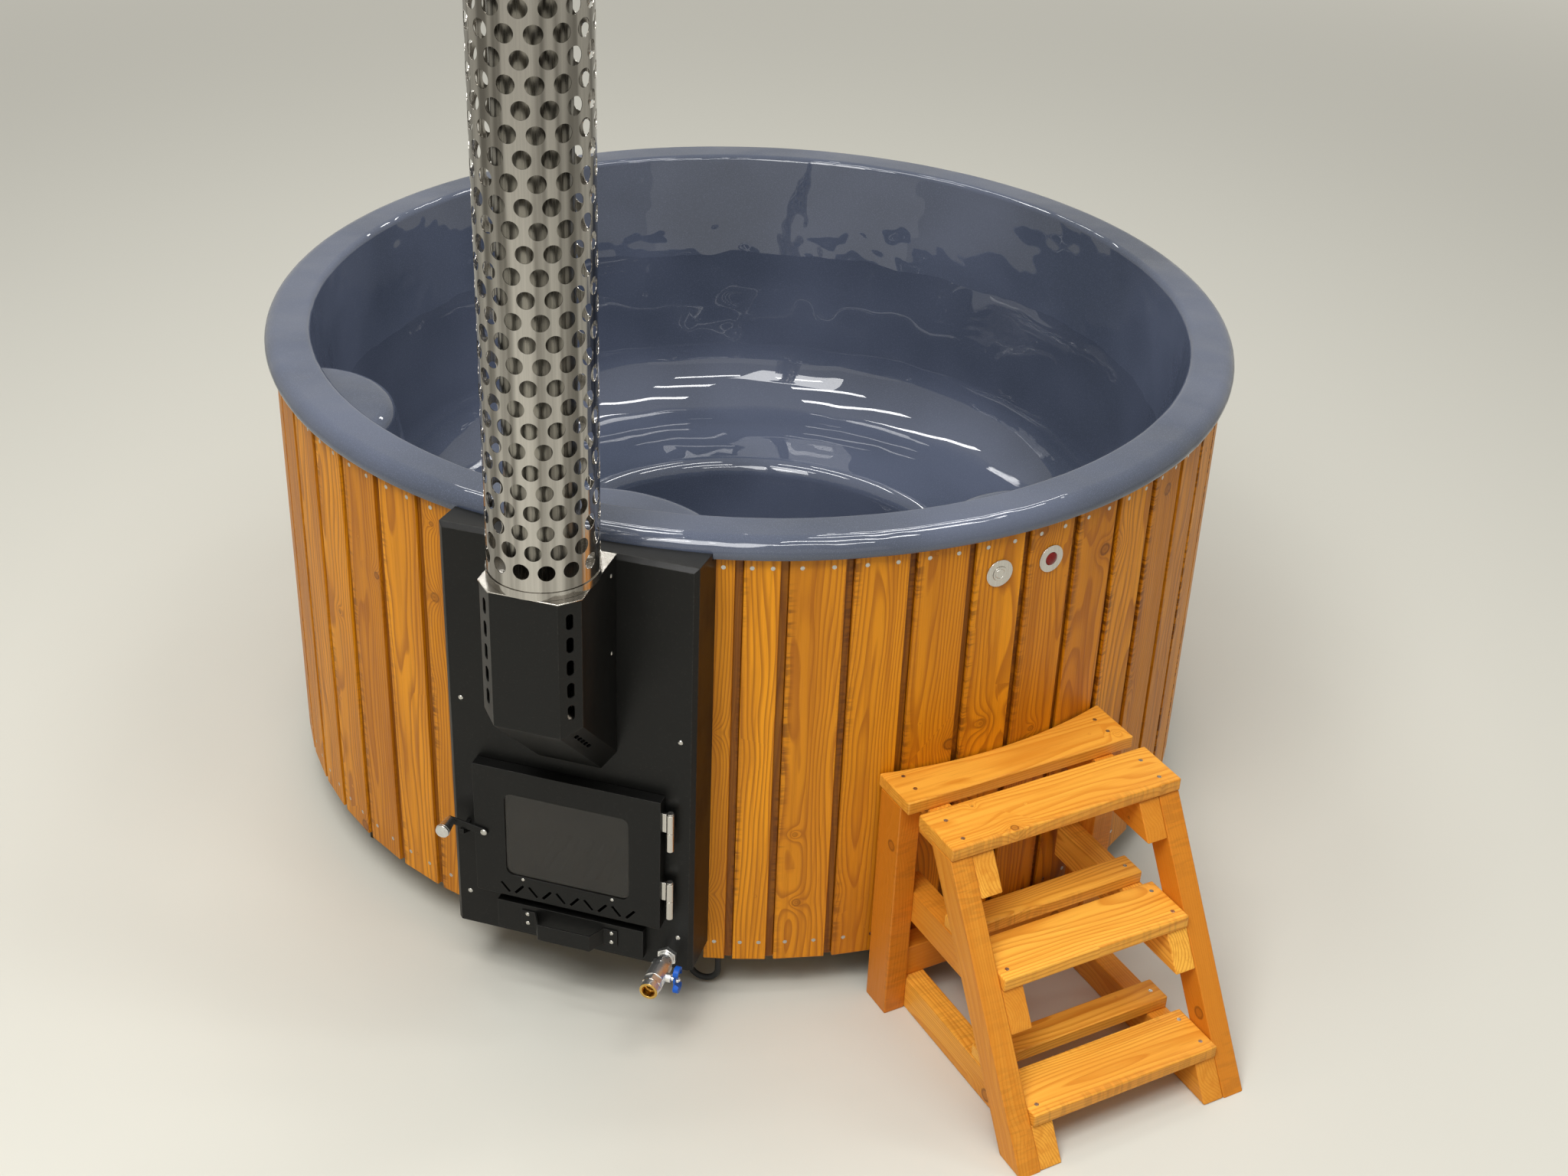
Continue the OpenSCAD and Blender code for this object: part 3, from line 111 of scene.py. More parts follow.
class Tree:
    """A node tree that is being filled, with short calls for the usual nodes."""

    def __init__(self, tree: bpy.types.NodeTree) -> None:
        """Keep the tree."""
        self.tree = tree

    def node(self, kind: str, inputs: dict | None = None, **settings: object) -> bpy.types.Node:
        """Add one node.

        Args:
            kind: The node's type, without its ShaderNode prefix.
            inputs: Sockets by name or number, each a socket to link or a plain value.
            settings: Properties of the node.

        Returns:
            The new node.
        """
        made = self.tree.nodes.new("ShaderNode" + kind)
        for name, value in settings.items():
            setattr(made, name, value)
        for key, value in (inputs or {}).items():
            self.feed(made.inputs[key], value)
        return made

    def feed(self, socket: Socket, value: object) -> None:
        """Link a socket to another one, or set its plain value.

        Args:
            socket: The socket that is fed.
            value: Another socket, or a plain value.
        """
        if isinstance(value, bpy.types.NodeSocket):
            self.tree.links.new(value, socket)
        else:
            socket.default_value = value

    def math(self, operation: str, a: Socket | float, b: Socket | float = 0.0) -> Socket:
        """Return the result of a Math node."""
        return self.node("Math", {0: a, 1: b}, operation=operation).outputs[0]

    def times(self, a: Socket | float, b: Socket | float) -> Socket:
        """Return the product of two values."""
        return self.math("MULTIPLY", a, b)

    def vector(self, operation: str, a: Socket, *others: object) -> bpy.types.Node:
        """Return a Vector Math node."""
        return self.node("VectorMath", dict(enumerate((a, *others))), operation=operation)

    def mix(self, share: Socket | float, a: object, b: object) -> Socket:
        """Return a colour between two colours."""
        return self.node("Mix", {0: share, 6: a, 7: b}, data_type="RGBA").outputs[2]

    def between(self, value: Socket, low: float, high: float, a: float = 0.0, b: float = 1.0) -> Socket:
        """Bring a value from one range to another, smoothly where low is the lesser.

        Args:
            value: The value that is read.
            low: Where the result is a.
            high: Where the result is b.
            a: The result at low and before it.
            b: The result at high and past it.

        Returns:
            The result.
        """
        kind = "SMOOTHSTEP" if low < high else "LINEAR"
        inputs = {0: value, 1: low, 2: high, 3: a, 4: b}
        return self.node("MapRange", inputs, interpolation_type=kind).outputs[0]

    def noise(self, point: Socket, scale: float = 1.0, detail: float = 3.0, rough: float = 0.5) -> Socket:
        """Return the value of a Noise texture."""
        inputs = {"Vector": point, "Scale": scale, "Detail": detail, "Roughness": rough}
        return self.node("TexNoise", inputs).outputs[0]

    def stretched(self, point: Socket, scale: Sequence[float]) -> Socket:
        """Return a point scaled on each axis."""
        return self.node("Mapping", {0: point, 3: tuple(scale)}).outputs[0]

    def part(self, point: Socket, axis: int) -> Socket:
        """Return one coordinate of a point."""
        return self.node("SeparateXYZ", {0: point}).outputs[axis]

    def attribute(self, name: str) -> bpy.types.Node:
        """Return the node of one of the mesh's attributes."""
        return self.node("Attribute", attribute_name=name)

    def background_rays(self) -> Socket:
        """Find the rays that show the plain background: the camera's, and those that leave metal or glass.

        Returns:
            1 for these rays, else 0.
        """
        rays = self.node("LightPath").outputs
        sharp = self.math("ADD", rays["Is Glossy Ray"], rays["Is Transmission Ray"])
        return self.math("MINIMUM", self.math("ADD", rays["Is Camera Ray"], sharp), 1.0)

    def bump(self, height: Socket, strength: float, distance: float, normal: Socket | None = None) -> Socket:
        """Return a normal that follows a height.

        Args:
            height: The height.
            strength: Share of the effect.
            distance: How far a height of 1 stands out, in metres.
            normal: The normal that it starts from.

        Returns:
            The new normal.
        """
        inputs: dict = {"Height": height, "Strength": strength, "Distance": distance}
        if normal is not None:
            inputs["Normal"] = normal
        return self.node("Bump", inputs).outputs[0]


# Effects that several finishes share


@dataclass(frozen=True)
class Effect:
    """A shader node group, built once and placed in each material with its own numbers."""

    name: ClassVar[str] = ""
    source: ClassVar[str] = "Point"
    results: ClassVar[tuple[str, ...]] = ()

    def fill(self, tree: Tree, entry: bpy.types.Node) -> dict[str, Socket]:
        """Make the group's nodes.

        Args:
            tree: The group's tree.
            entry: The group's input node.

        Returns:
            A socket for each result.
        """
        raise NotImplementedError

    def group(self, numbers: dict[str, float]) -> bpy.types.NodeTree:
        """Return the group, made the first time.

        Args:
            numbers: The group's own numbers and their start values.

        Returns:
            The node group.
        """
        if self.name in bpy.data.node_groups:
            return bpy.data.node_groups[self.name]
        group = bpy.data.node_groups.new(self.name, "ShaderNodeTree")
        group.interface.new_socket(self.source, in_out="INPUT", socket_type="NodeSocketVector")
        for title, value in numbers.items():
            socket = group.interface.new_socket(title, in_out="INPUT", socket_type="NodeSocketFloat")
            socket.default_value = value
        for title in self.results:
            group.interface.new_socket(title, in_out="OUTPUT", socket_type="NodeSocketFloat")
        entry, leave = group.nodes.new("NodeGroupInput"), group.nodes.new("NodeGroupOutput")
        for title, socket in self.fill(Tree(group), entry).items():
            group.links.new(socket, leave.inputs[title])
        return group

    def place(self, tree: Tree, point: Socket, **numbers: float) -> bpy.types.NodeOutputs:
        """Place the effect in a material.

        Args:
            tree: The material's tree.
            point: The coordinates that it reads.
            numbers: Its own numbers, by socket name.

        Returns:
            The placed group's outputs.
        """
        made = tree.tree.nodes.new("ShaderNodeGroup")
        made.node_tree = self.group(numbers)
        tree.feed(made.inputs[self.source], point)
        for title, value in numbers.items():
            tree.feed(made.inputs[title], value)
        return made.outputs


@dataclass(frozen=True)
class WoodFigure(Effect):
    """Rings, fibres, streaks and knots of sawn pine, from grain coordinates in metres."""

    name = "wood_figure"
    source = "Grain"
    results = ("Rings", "Fibres", "Streaks", "Knot", "Halo", "Tone")

    wander_scale: Point = (1.6, 9.0, 9.0)
    wander: Point = (0.0, 0.05, 0.05)
    knot_radius: float = 0.013
    least_radius: float = 0.0005
    knot_core: float = 0.4
    knot_rim: float = 0.6
    knot_decay: float = -0.55
    knot_swirl: float = 0.024
    fibre_scale: Point = (9.0, 420.0, 420.0)
    streak_scale: Point = (2.2, 70.0, 70.0)
    tone_scale: Point = (1.1, 7.0, 7.0)

    def fill(self, tree: Tree, entry: bpy.types.Node) -> dict[str, Socket]:
        """Make the rings round a heart beside the timber, bent by slow wander and by knots.

        Args:
            tree: The group's tree.
            entry: The group's input node.

        Returns:
            Rings, fibres, streaks, knots with their halos, and a slow change of tone.
        """
        grain, knots = entry.outputs["Grain"], entry.outputs["Knots"]
        wandering = {"Vector": tree.stretched(grain, self.wander_scale), "Scale": 1.0, "Detail": 2.0}
        slow = tree.node("TexNoise", wandering).outputs["Color"]
        shift = tree.vector("SUBTRACT", slow, (0.5, 0.5, 0.5)).outputs[0]
        bent = tree.vector("MULTIPLY_ADD", shift, self.wander, grain).outputs[0]
        cells = tree.node("TexVoronoi", {"Vector": grain, "Scale": knots}, voronoi_dimensions="2D")
        size = tree.node("SeparateColor", {0: cells.outputs["Color"]}).outputs[0]
        radius = tree.between(size, 0.3, 1.0, 0.0, self.knot_radius)
        away = tree.math("DIVIDE", cells.outputs["Distance"], knots)
        near = tree.math("DIVIDE", away, tree.math("MAXIMUM", radius, self.least_radius))
        inside = tree.between(near, 1.15, 0.85)
        outline = tree.times(inside, tree.between(near, 0.5, 0.95))
        around = tree.math("POWER", math.e, tree.times(near, self.knot_decay))
        squares = [tree.math("POWER", tree.part(bent, axis), 2.0) for axis in (1, 2)]
        from_heart = tree.math("SQRT", tree.math("ADD", *squares))
        radial = tree.math("ADD", from_heart, tree.times(around, self.knot_swirl))
        turns = tree.math("FRACT", tree.math("DIVIDE", radial, entry.outputs["Spacing"]))
        return {
            "Rings": tree.times(tree.between(turns, 0.35, 0.9), tree.between(turns, 0.99, 0.9)),
            "Fibres": tree.noise(tree.stretched(grain, self.fibre_scale), 1.0, 4.0, 0.65),
            "Streaks": tree.noise(tree.stretched(grain, self.streak_scale), 1.0, 3.0, 0.6),
            "Knot": tree.math("ADD", tree.times(inside, self.knot_core), tree.times(outline, self.knot_rim)),
            "Halo": tree.times(around, tree.between(radius, 0.002, 0.006)),
            "Tone": tree.noise(tree.stretched(grain, self.tone_scale), 1.0, 2.0),
        }


@dataclass(frozen=True)
class Smudges(Effect):
    """Cloudy handling marks and fine dust."""

    name = "smudges"
    results = ("Marks", "Dust")

    cloud_scale: Point = (3.0, 3.0, 2.0)
    dust_scale: float = 240.0

    def fill(self, tree: Tree, entry: bpy.types.Node) -> dict[str, Socket]:
        """Make the marks and the dust.

        Args:
            tree: The group's tree.
            entry: The group's input node.

        Returns:
            Marks and dust.
        """
        point = entry.outputs["Point"]
        cloud = tree.noise(tree.stretched(point, self.cloud_scale), 1.6, 4.0, 0.6)
        dust = tree.noise(point, self.dust_scale, 2.0, 0.7)
        return {"Marks": tree.between(cloud, 0.38, 0.72), "Dust": tree.between(dust, 0.55, 0.8)}


@dataclass(frozen=True)
class OrangePeel(Effect):
    """The fine pimples of sprayed paint."""

    name = "orange_peel"
    results = ("Height",)

    scale: float = 900.0

    def fill(self, tree: Tree, entry: bpy.types.Node) -> dict[str, Socket]:
        """Return the pimples' height."""
        return {"Height": tree.noise(entry.outputs["Point"], self.scale, 2.0)}


@dataclass(frozen=True)
class SheetWaves(Effect):
    """The slow dents of a thin moulded skin."""

    name = "sheet_waves"
    results = ("Height",)

    scale: float = 5.0

    def fill(self, tree: Tree, entry: bpy.types.Node) -> dict[str, Socket]:
        """Return the dents' height."""
        return {"Height": tree.noise(entry.outputs["Point"], self.scale, 1.0, 0.4)}


# Finishes


@dataclass(frozen=True)
class Finish:
    """A surface's look: its name, its colour and how it shines."""

    name: str
    colour: Colour
    roughness: float = 0.5
    metallic: float = 0.0
    mark_tone: float = 0.82
    mark_dulling: float = 1.3

    def material(self) -> bpy.types.Material:
        """Make the finish's material, unless it is there already.

        Returns:
            The material.
        """
        title = self.name + "_finish"
        if title in bpy.data.materials:
            return bpy.data.materials[title]
        made = bpy.data.materials.new(title)
        made.use_nodes = True
        made.diffuse_color = self.colour
        self.fill(Tree(made.node_tree), made.node_tree.nodes["Principled BSDF"])
        return made

    def point(self, tree: Tree) -> Socket:
        """Return the object coordinates."""
        return tree.node("TexCoord").outputs["Object"]

    def set(self, tree: Tree, shader: bpy.types.Node, **values: object) -> None:
        """Set or link the shader's sockets, with _ for a space in a name."""
        for name, value in values.items():
            tree.feed(shader.inputs[name.replace("_", " ")], value)

    def fill(self, tree: Tree, shader: bpy.types.Node) -> None:
        """Make the nodes of plain moulded plastic with handling marks.

        Args:
            tree: The material's tree.
            shader: Its Principled BSDF.
        """
        marks = Smudges().place(tree, self.point(tree))["Marks"]
        tone = tree.mix(marks, self.colour, scaled(self.colour, self.mark_tone))
        rough = tree.between(marks, 0.0, 1.0, self.roughness, min(1.0, self.roughness * self.mark_dulling))
        self.set(tree, shader, Base_Color=tone, Roughness=rough, Metallic=self.metallic)


@dataclass(frozen=True)
class WoodFinish(Finish):
    """Stained and oiled pine whose figure follows the piece's own grain."""

    dark: Colour = from_srgb(120, 62, 10)
    deep: Colour = from_srgb(66, 28, 6)
    spacing: float = 0.0055
    knots: float = 5.2
    ring_depth: float = 0.75
    smear: float = 0.3
    # Share of the painted shade along the rounded edges
    edge_painted_shade: float = 0.3
    # Painted shade in the rebated grooves between the boards: where it starts from the axis and how deep it
    # runs, in metres
    groove_from: float = 0.0
    groove_depth: float = 0.004
    streak_stain: float = 0.5
    blotch_stain: float = 0.45
    pore_stain: float = 0.35
    halo_stain: float = 0.55
    knot_stain: float = 0.8
    # Share of the painted shade in the grooves
    groove_painted_shade: float = 0.72
    ring_height: float = 0.5
    relief: float = 0.0006
    tooth_scale: Point = (95.0, 14.0, 14.0)
    tooth_place: Point = (3.5, 3.0, 3.0)
    heart_shift: Point = (0.3, 0.05, 0.06)
    surface: Surface = Surface.GRAIN

    def coordinates(self, tree: Tree, point: Socket) -> tuple[Socket, Socket]:
        """Return the grain coordinates and the timber's own tone.

        Args:
            tree: The material's tree.
            point: The object coordinates.

        Returns:
            The grain coordinates, and the tone from 0 to 1.
        """
        if self.surface is Surface.GRAIN:
            return tree.attribute("grain").outputs["Vector"], tree.attribute("tone").outputs["Fac"]
        upright = {0: point, 1: self.heart_shift, 2: (0.0, math.pi / 2, 0.0)}
        return tree.node("Mapping", upright).outputs[0], tree.noise(point, 0.7, 0.0)

    def stain(self, tree: Tree, figure: bpy.types.NodeOutputs, own: Socket) -> Socket:
        """Return the stained wood's colour with its streaks, blotches, rings and pores.

        Args:
            tree: The material's tree.
            figure: The wood figure's outputs.
            own: The timber's own tone.

        Returns:
            The colour.
        """
        light = tree.mix(tree.between(own, 0.0, 1.0), self.colour, self.dark)
        streaks = tree.between(figure["Streaks"], 0.42, 0.72, 0.0, self.streak_stain)
        blotches = tree.between(figure["Tone"], 0.45, 0.75, 0.0, self.blotch_stain)
        pores = tree.between(figure["Fibres"], 0.56, 0.8, 0.0, self.pore_stain)
        cloudy = tree.mix(blotches, tree.mix(streaks, light, self.dark), self.dark)
        ringed = tree.mix(tree.times(figure["Rings"], self.ring_depth), cloudy, self.dark)
        return tree.mix(pores, ringed, self.deep)

    def fill(self, tree: Tree, shader: bpy.types.Node) -> None:
        """Make the stain, knots on wide faces, smears on the sides, and painted shade in the grooves and
        along the rounded edges.

        Args:
            tree: The material's tree.
            shader: Its Principled BSDF.
        """
        point = self.point(tree)
        grain, own = self.coordinates(tree, point)
        figure = WoodFigure().place(tree, grain, Spacing=self.spacing, Knots=self.knots)
        tone = self.stain(tree, figure, own)
        across = tree.attribute("across").outputs["Vector"]
        wide = tree.between(tree.math("ABSOLUTE", tree.part(across, 2)), 0.9, 0.97)
        tone = tree.mix(tree.times(tree.times(figure["Halo"], wide), self.halo_stain), tone, self.dark)
        tone = tree.mix(tree.times(tree.times(figure["Knot"], wide), self.knot_stain), tone, self.deep)
        tone = tree.mix(self.smears(tree, grain, across), tone, self.deep)
        # Painted shade: darker in the rebated grooves between the boards, where shade falls
        if self.groove_from:
            plan = tree.vector("MULTIPLY", point, (1.0, 1.0, 0.0)).outputs[0]
            away = tree.vector("LENGTH", plan).outputs["Value"]
            groove = tree.between(away, self.groove_from, self.groove_from - self.groove_depth)
            tone = tree.mix(tree.times(groove, self.groove_painted_shade), tone, self.deep)
        # Painted shade: darker along the rounded edges
        edge = tree.attribute("edge").outputs["Fac"]
        tone = tree.mix(tree.times(edge, self.edge_painted_shade), tone, self.dark)
        height = tree.math("ADD", tree.times(figure["Rings"], self.ring_height), figure["Fibres"])
        rough = tree.between(figure["Fibres"], 0.3, 0.7, self.roughness - 0.08, self.roughness + 0.1)
        self.set(tree, shader, Base_Color=tone, Roughness=rough, Specular_IOR_Level=0.3, Coat_Weight=0.06,
                 Coat_Roughness=0.35, Normal=tree.bump(height, 0.5, self.relief))

    def smears(self, tree: Tree, grain: Socket, across: Socket) -> Socket:
        """Return a mask of stain that has gathered in comb-like marks along a timber's sides.

        Args:
            tree: The material's tree.
            grain: The grain coordinates.
            across: The place across the timber, from -1 to 1.

        Returns:
            The mask.
        """
        side = tree.between(tree.math("ABSOLUTE", tree.part(across, 1)), 0.62, 1.0)
        teeth = tree.noise(tree.stretched(grain, self.tooth_scale), 1.0, 2.0, 0.7)
        where = tree.noise(tree.stretched(grain, self.tooth_place), 1.0, 1.0)
        mask = tree.times(side, tree.between(teeth, 0.44, 0.6))
        return tree.times(mask, tree.between(where, 0.4, 0.62, 0.1 * self.smear, self.smear))


@dataclass(frozen=True)
class PlyFinish(Finish):
    """Bare plywood with thin veneers that show at its edges."""

    veneer: float = 0.0022
    glue_line: tuple[float, float] = (0.0009, 0.0013)
    glue_share: float = 0.35
    glue_tone: float = 0.35
    figure_tone: float = 0.6
    relief: float = 0.0005
    face_scale: Point = (4.0, 90.0, 30.0)

    def fill(self, tree: Tree, shader: bpy.types.Node) -> None:
        """Make the veneers and the face's long figure.

        Args:
            tree: The material's tree.
            shader: Its Principled BSDF.
        """
        point = self.point(tree)
        layer = tree.math("PINGPONG", tree.part(point, 2), self.veneer)
        face = tree.noise(tree.stretched(point, self.face_scale), 1.0, 4.0)
        tone = tree.mix(tree.between(face, 0.35, 0.7), self.colour, scaled(self.colour, self.figure_tone))
        glued = tree.between(layer, *self.glue_line, 0.0, self.glue_share)
        tone = tree.mix(glued, tone, scaled(self.colour, self.glue_tone))
        normal = tree.bump(face, 0.25, self.relief)
        self.set(tree, shader, Base_Color=tone, Roughness=self.roughness, Normal=normal)


@dataclass(frozen=True)
class GelCoat(Finish):
    """Thick glossy gel coat with fine flakes and the slow waves of a moulded skin.

    Above flare_from, along a slow ripple, its normals lean up by the share flare, so that the upper wall
    and the rim mirror what is higher.
    """

    flake: Colour = from_srgb(124, 132, 156)
    flake_scale: float = 1400.0
    flake_share: float = 0.35
    cloud_share: float = 0.25
    wave_height: float = 0.012
    ripple: float = 0.05
    flare_from: float = 0.815
    flare: float = 0.17

    def fill(self, tree: Tree, shader: bpy.types.Node) -> None:
        """Make the flakes, the waves and a clear top layer.

        Args:
            tree: The material's tree.
            shader: Its Principled BSDF.
        """
        point = self.point(tree)
        flakes = tree.node("TexVoronoi", {"Vector": point, "Scale": self.flake_scale}).outputs["Color"]
        brightness = tree.node("SeparateColor", {0: flakes}).outputs[0]
        cloud = tree.between(tree.noise(point, 2.2, 2.0), 0.3, 0.7, 0.0, self.cloud_share)
        spark = tree.between(brightness, 0.86, 0.98, 0.0, self.flake_share)
        tone = tree.mix(spark, tree.mix(cloud, self.colour, self.flake), self.flake)
        rough = tree.between(tree.noise(point, 30.0), 0.3, 0.7, self.roughness * 0.8, self.roughness * 1.25)
        waves = SheetWaves().place(tree, point)["Height"]
        ripple = tree.times(tree.noise(point, 6.0, 2.0), self.ripple)
        above = tree.math("SUBTRACT", tree.math("ADD", tree.part(point, 2), ripple), self.flare_from)
        lean = tree.times(tree.math("MAXIMUM", above, 0.0), -self.flare)
        normal = tree.bump(lean, 1.0, 1.0, tree.bump(waves, 0.55, self.wave_height))
        self.set(tree, shader, Base_Color=tone, Roughness=rough, Specular_IOR_Level=0.0, Coat_Weight=1.0,
                 Coat_Roughness=0.01, Coat_IOR=1.6, Normal=normal, Coat_Normal=normal)


@dataclass(frozen=True)
class PaintFinish(Finish):
    """Heat-proof sprayed paint: satin, a little dusty, with lighter edges that are partly rubbed wear and
    partly painted highlight.
    """

    wear_and_highlight: float = 0.25
    rub_and_highlight: Colour = from_srgb(70, 68, 64)
    dust: Colour = from_srgb(120, 116, 108)
    dust_share: float = 0.05
    mark_share: float = 0.25
    mark_tone: float = 1.9
    pimple: float = 0.0003

    def fill(self, tree: Tree, shader: bpy.types.Node) -> None:
        """Make the pimples, marks, dust, and the lighter edges of rubbed wear and painted highlight.

        Args:
            tree: The material's tree.
            shader: Its Principled BSDF.
        """
        point = self.point(tree)
        marks = Smudges().place(tree, point)
        peel = OrangePeel().place(tree, point)["Height"]
        tone = tree.mix(tree.times(marks["Dust"], self.dust_share), self.colour, self.dust)
        marked = tree.times(marks["Marks"], self.mark_share)
        tone = tree.mix(marked, tone, scaled(self.colour, self.mark_tone))
        # Lighter along the rounded edges: partly rubbed wear, partly a painted highlight
        patches = tree.between(tree.noise(point, 130.0), 0.46, 0.62, self.wear_and_highlight * 0.3, self.wear_and_highlight)
        tone = tree.mix(tree.times(tree.attribute("edge").outputs["Fac"], patches), tone, self.rub_and_highlight)
        rough = tree.between(marks["Marks"], 0.0, 1.0, self.roughness, self.roughness + 0.12)
        self.set(tree, shader, Base_Color=tone, Roughness=rough, Specular_IOR_Level=0.24,
                 Normal=tree.bump(peel, 0.25, self.pimple))


@dataclass(frozen=True)
class MetalFinish(Finish):
    """Bare or plated metal with brushing along one way."""

    brushing: Point = (300.0, 300.0, 3.0)
    depth: float = 0.12
    line_height: float = 0.0002
    line_tone: float = 0.8
    reflection_bands: float = 0.0
    # Colour of the painted reflection bands
    band: Colour = from_srgb(96, 92, 86)
    band_scale: Point = (34.0, 34.0, 0.7)
    band_height: float = 0.004

    def fill(self, tree: Tree, shader: bpy.types.Node) -> None:
        """Make the brushed lines, the finger marks, and any darker bands along z of painted reflection with
        their bumps.

        Args:
            tree: The material's tree.
            shader: Its Principled BSDF.
        """
        point = self.point(tree)
        lines = tree.noise(tree.stretched(point, self.brushing), 1.0, 3.0, 0.6)
        marks = Smudges().place(tree, point)["Marks"]
        dull = scaled(self.colour, self.line_tone)
        tone = tree.mix(tree.between(lines, 0.35, 0.65, 0.0, 0.5), self.colour, dull)
        brushed = tree.between(lines, 0.3, 0.7, self.roughness * 0.75, self.roughness * 1.3)
        rough = tree.math("ADD", brushed, tree.times(marks, 0.06))
        normal = tree.bump(lines, self.depth, self.line_height)
        if self.reflection_bands:
            # Painted reflection: darker bands along z that stand in for the streaky reflections of polished
            # steel
            painted_reflection_bands = tree.noise(tree.stretched(point, self.band_scale), 1.0, 2.0, 0.55)
            tone = tree.mix(tree.between(painted_reflection_bands, 0.42, 0.66, 0.0, self.reflection_bands), tone, self.band)
            normal = tree.bump(painted_reflection_bands, 0.6, self.band_height, normal)
        self.set(tree, shader, Base_Color=tone, Roughness=rough, Metallic=1.0, Normal=normal)


@dataclass(frozen=True)
class IronFinish(Finish):
    """Cast or sooty plate: rough, with scale and ash."""

    ash: float = 0.3
    ash_colour: Colour = from_srgb(128, 122, 112)
    skin_height: float = 0.0006

    def fill(self, tree: Tree, shader: bpy.types.Node) -> None:
        """Make the cast skin and patches of pale ash.

        Args:
            tree: The material's tree.
            shader: Its Principled BSDF.
        """
        point = self.point(tree)
        skin = tree.noise(point, 320.0, 5.0, 0.7)
        patch = tree.between(tree.noise(point, 14.0, 4.0, 0.6), 0.45, 0.7, 0.0, self.ash)
        tone = tree.mix(patch, self.colour, self.ash_colour)
        self.set(tree, shader, Base_Color=tone, Roughness=self.roughness, Metallic=self.metallic,
                 Normal=tree.bump(skin, 0.5, self.skin_height))


@dataclass(frozen=True)
class ClearFinish(Finish):
    """Glass or a clear lens, with a plain transmission."""

    transmission: float = 0.9
    smoke: float = 0.0
    bending: float = 1.47
    film_scale: Point = (3.0, 3.0, 5.0)

    def fill(self, tree: Tree, shader: bpy.types.Node) -> None:
        """Make the tint and the faint film of soot.

        Args:
            tree: The material's tree.
            shader: Its Principled BSDF.
        """
        clouds = tree.noise(tree.stretched(self.point(tree), self.film_scale), 1.5, 4.0)
        film = tree.between(clouds, 0.4, 0.75)
        tone = tree.mix(film, self.colour, scaled(self.colour, 1 - self.smoke))
        rough = tree.between(film, 0.0, 1.0, self.roughness, self.roughness + 0.06)
        self.set(tree, shader, Base_Color=tone, Roughness=rough, Transmission_Weight=self.transmission,
                 IOR=self.bending, Specular_IOR_Level=0.3)


@dataclass(frozen=True)
class Palette:
    """Every finish of the tub."""

    boards: Finish = WoodFinish(
        "boards_oiled", from_srgb(238, 156, 12), 0.5, dark=from_srgb(164, 92, 2),
        deep=from_srgb(92, 46, 3), groove_from=0.9775, smear=0.85)
    steps: Finish = WoodFinish(
        "steps_oiled", from_srgb(255, 190, 74), 0.46, dark=from_srgb(206, 122, 24),
        deep=from_srgb(112, 56, 8), knots=5.5, ring_depth=0.6, smear=0.2, edge_painted_shade=0.1)
    # Painted shade: the runners are coloured dark so that they sink into the shade under the tub
    timber: Finish = WoodFinish(
        "runner_timber_in_painted_shade", from_srgb(92, 82, 62), 0.85, dark=from_srgb(66, 58, 42),
        deep=from_srgb(40, 34, 24))
    frame_wood: Finish = WoodFinish(
        "frame_timber", from_srgb(214, 184, 134), 0.75, dark=from_srgb(176, 138, 86),
        deep=from_srgb(110, 74, 40), surface=Surface.OBJECT)
    plywood: Finish = PlyFinish("plywood", from_srgb(208, 184, 142), 0.7)
    gel: Finish = GelCoat("gel_coat", from_srgb(67, 74, 89), 0.3)
    paint: Finish = PaintFinish("stove_paint", from_srgb(13, 13, 12), 0.38)
    stainless: Finish = MetalFinish("stainless", from_srgb(208, 204, 198), 0.2)
    guard: Finish = MetalFinish("guard_steel", from_srgb(190, 186, 180), 0.12, reflection_bands=0.8)
    flue: Finish = MetalFinish("flue_steel", from_srgb(150, 146, 138), 0.24, reflection_bands=0.7)
    screws: Finish = MetalFinish(
        "screw_steel", from_srgb(196, 194, 188), 0.28, brushing=(200.0, 200.0, 200.0))
    nickel: Finish = MetalFinish(
        "nickel", from_srgb(244, 244, 242), 0.32, brushing=(60.0, 400.0, 60.0), depth=0.05)
    brass: Finish = MetalFinish(
        "brass", from_srgb(216, 176, 96), 0.2, brushing=(60.0, 400.0, 60.0), depth=0.08)
    alloy: Finish = MetalFinish(
        "knob_alloy", from_srgb(214, 214, 212), 0.26, brushing=(60.0, 900.0, 60.0))
    key: Finish = PaintFinish(
        "key_blue", from_srgb(24, 84, 176), 0.3, wear_and_highlight=0.1, rub_and_highlight=from_srgb(90, 140, 210))
    chamber: Finish = IronFinish("chamber_plate", from_srgb(74, 70, 66), 0.75, 0.3)
    grate: Finish = IronFinish("grate_iron", from_srgb(52, 50, 48), 0.8, 0.2, ash=0.5)
    jacket: Finish = MetalFinish("jacket_sheet", from_srgb(168, 166, 162), 0.35)
    glass: Finish = ClearFinish("fire_glass", from_srgb(112, 106, 98), 0.03, smoke=0.3, transmission=0.93)
    gasket: Finish = IronFinish("gasket_rope", from_srgb(60, 58, 56), 0.9, 0.0, ash=0.15)
    lens: Finish = ClearFinish("lens_red", from_srgb(150, 20, 16), 0.12, transmission=0.4)
    pipe: Finish = Finish("pipe_plastic", from_srgb(222, 220, 214), 0.45)
    box: Finish = Finish("box_grey", from_srgb(176, 178, 178), 0.5)
    cable: Finish = Finish("cable_black", from_srgb(28, 28, 28), 0.6)


FINISHES = Palette()


# Mesh work

# Corners nearer than this are one, in metres
MERGE_WITHIN = 4e-6

# Where the heart of a timber's rings may lie from its middle, in metres
HEART_ALONG = 40.0
HEART_SIDEWAYS = 0.05
HEART_AWAY = (0.035, 0.11)

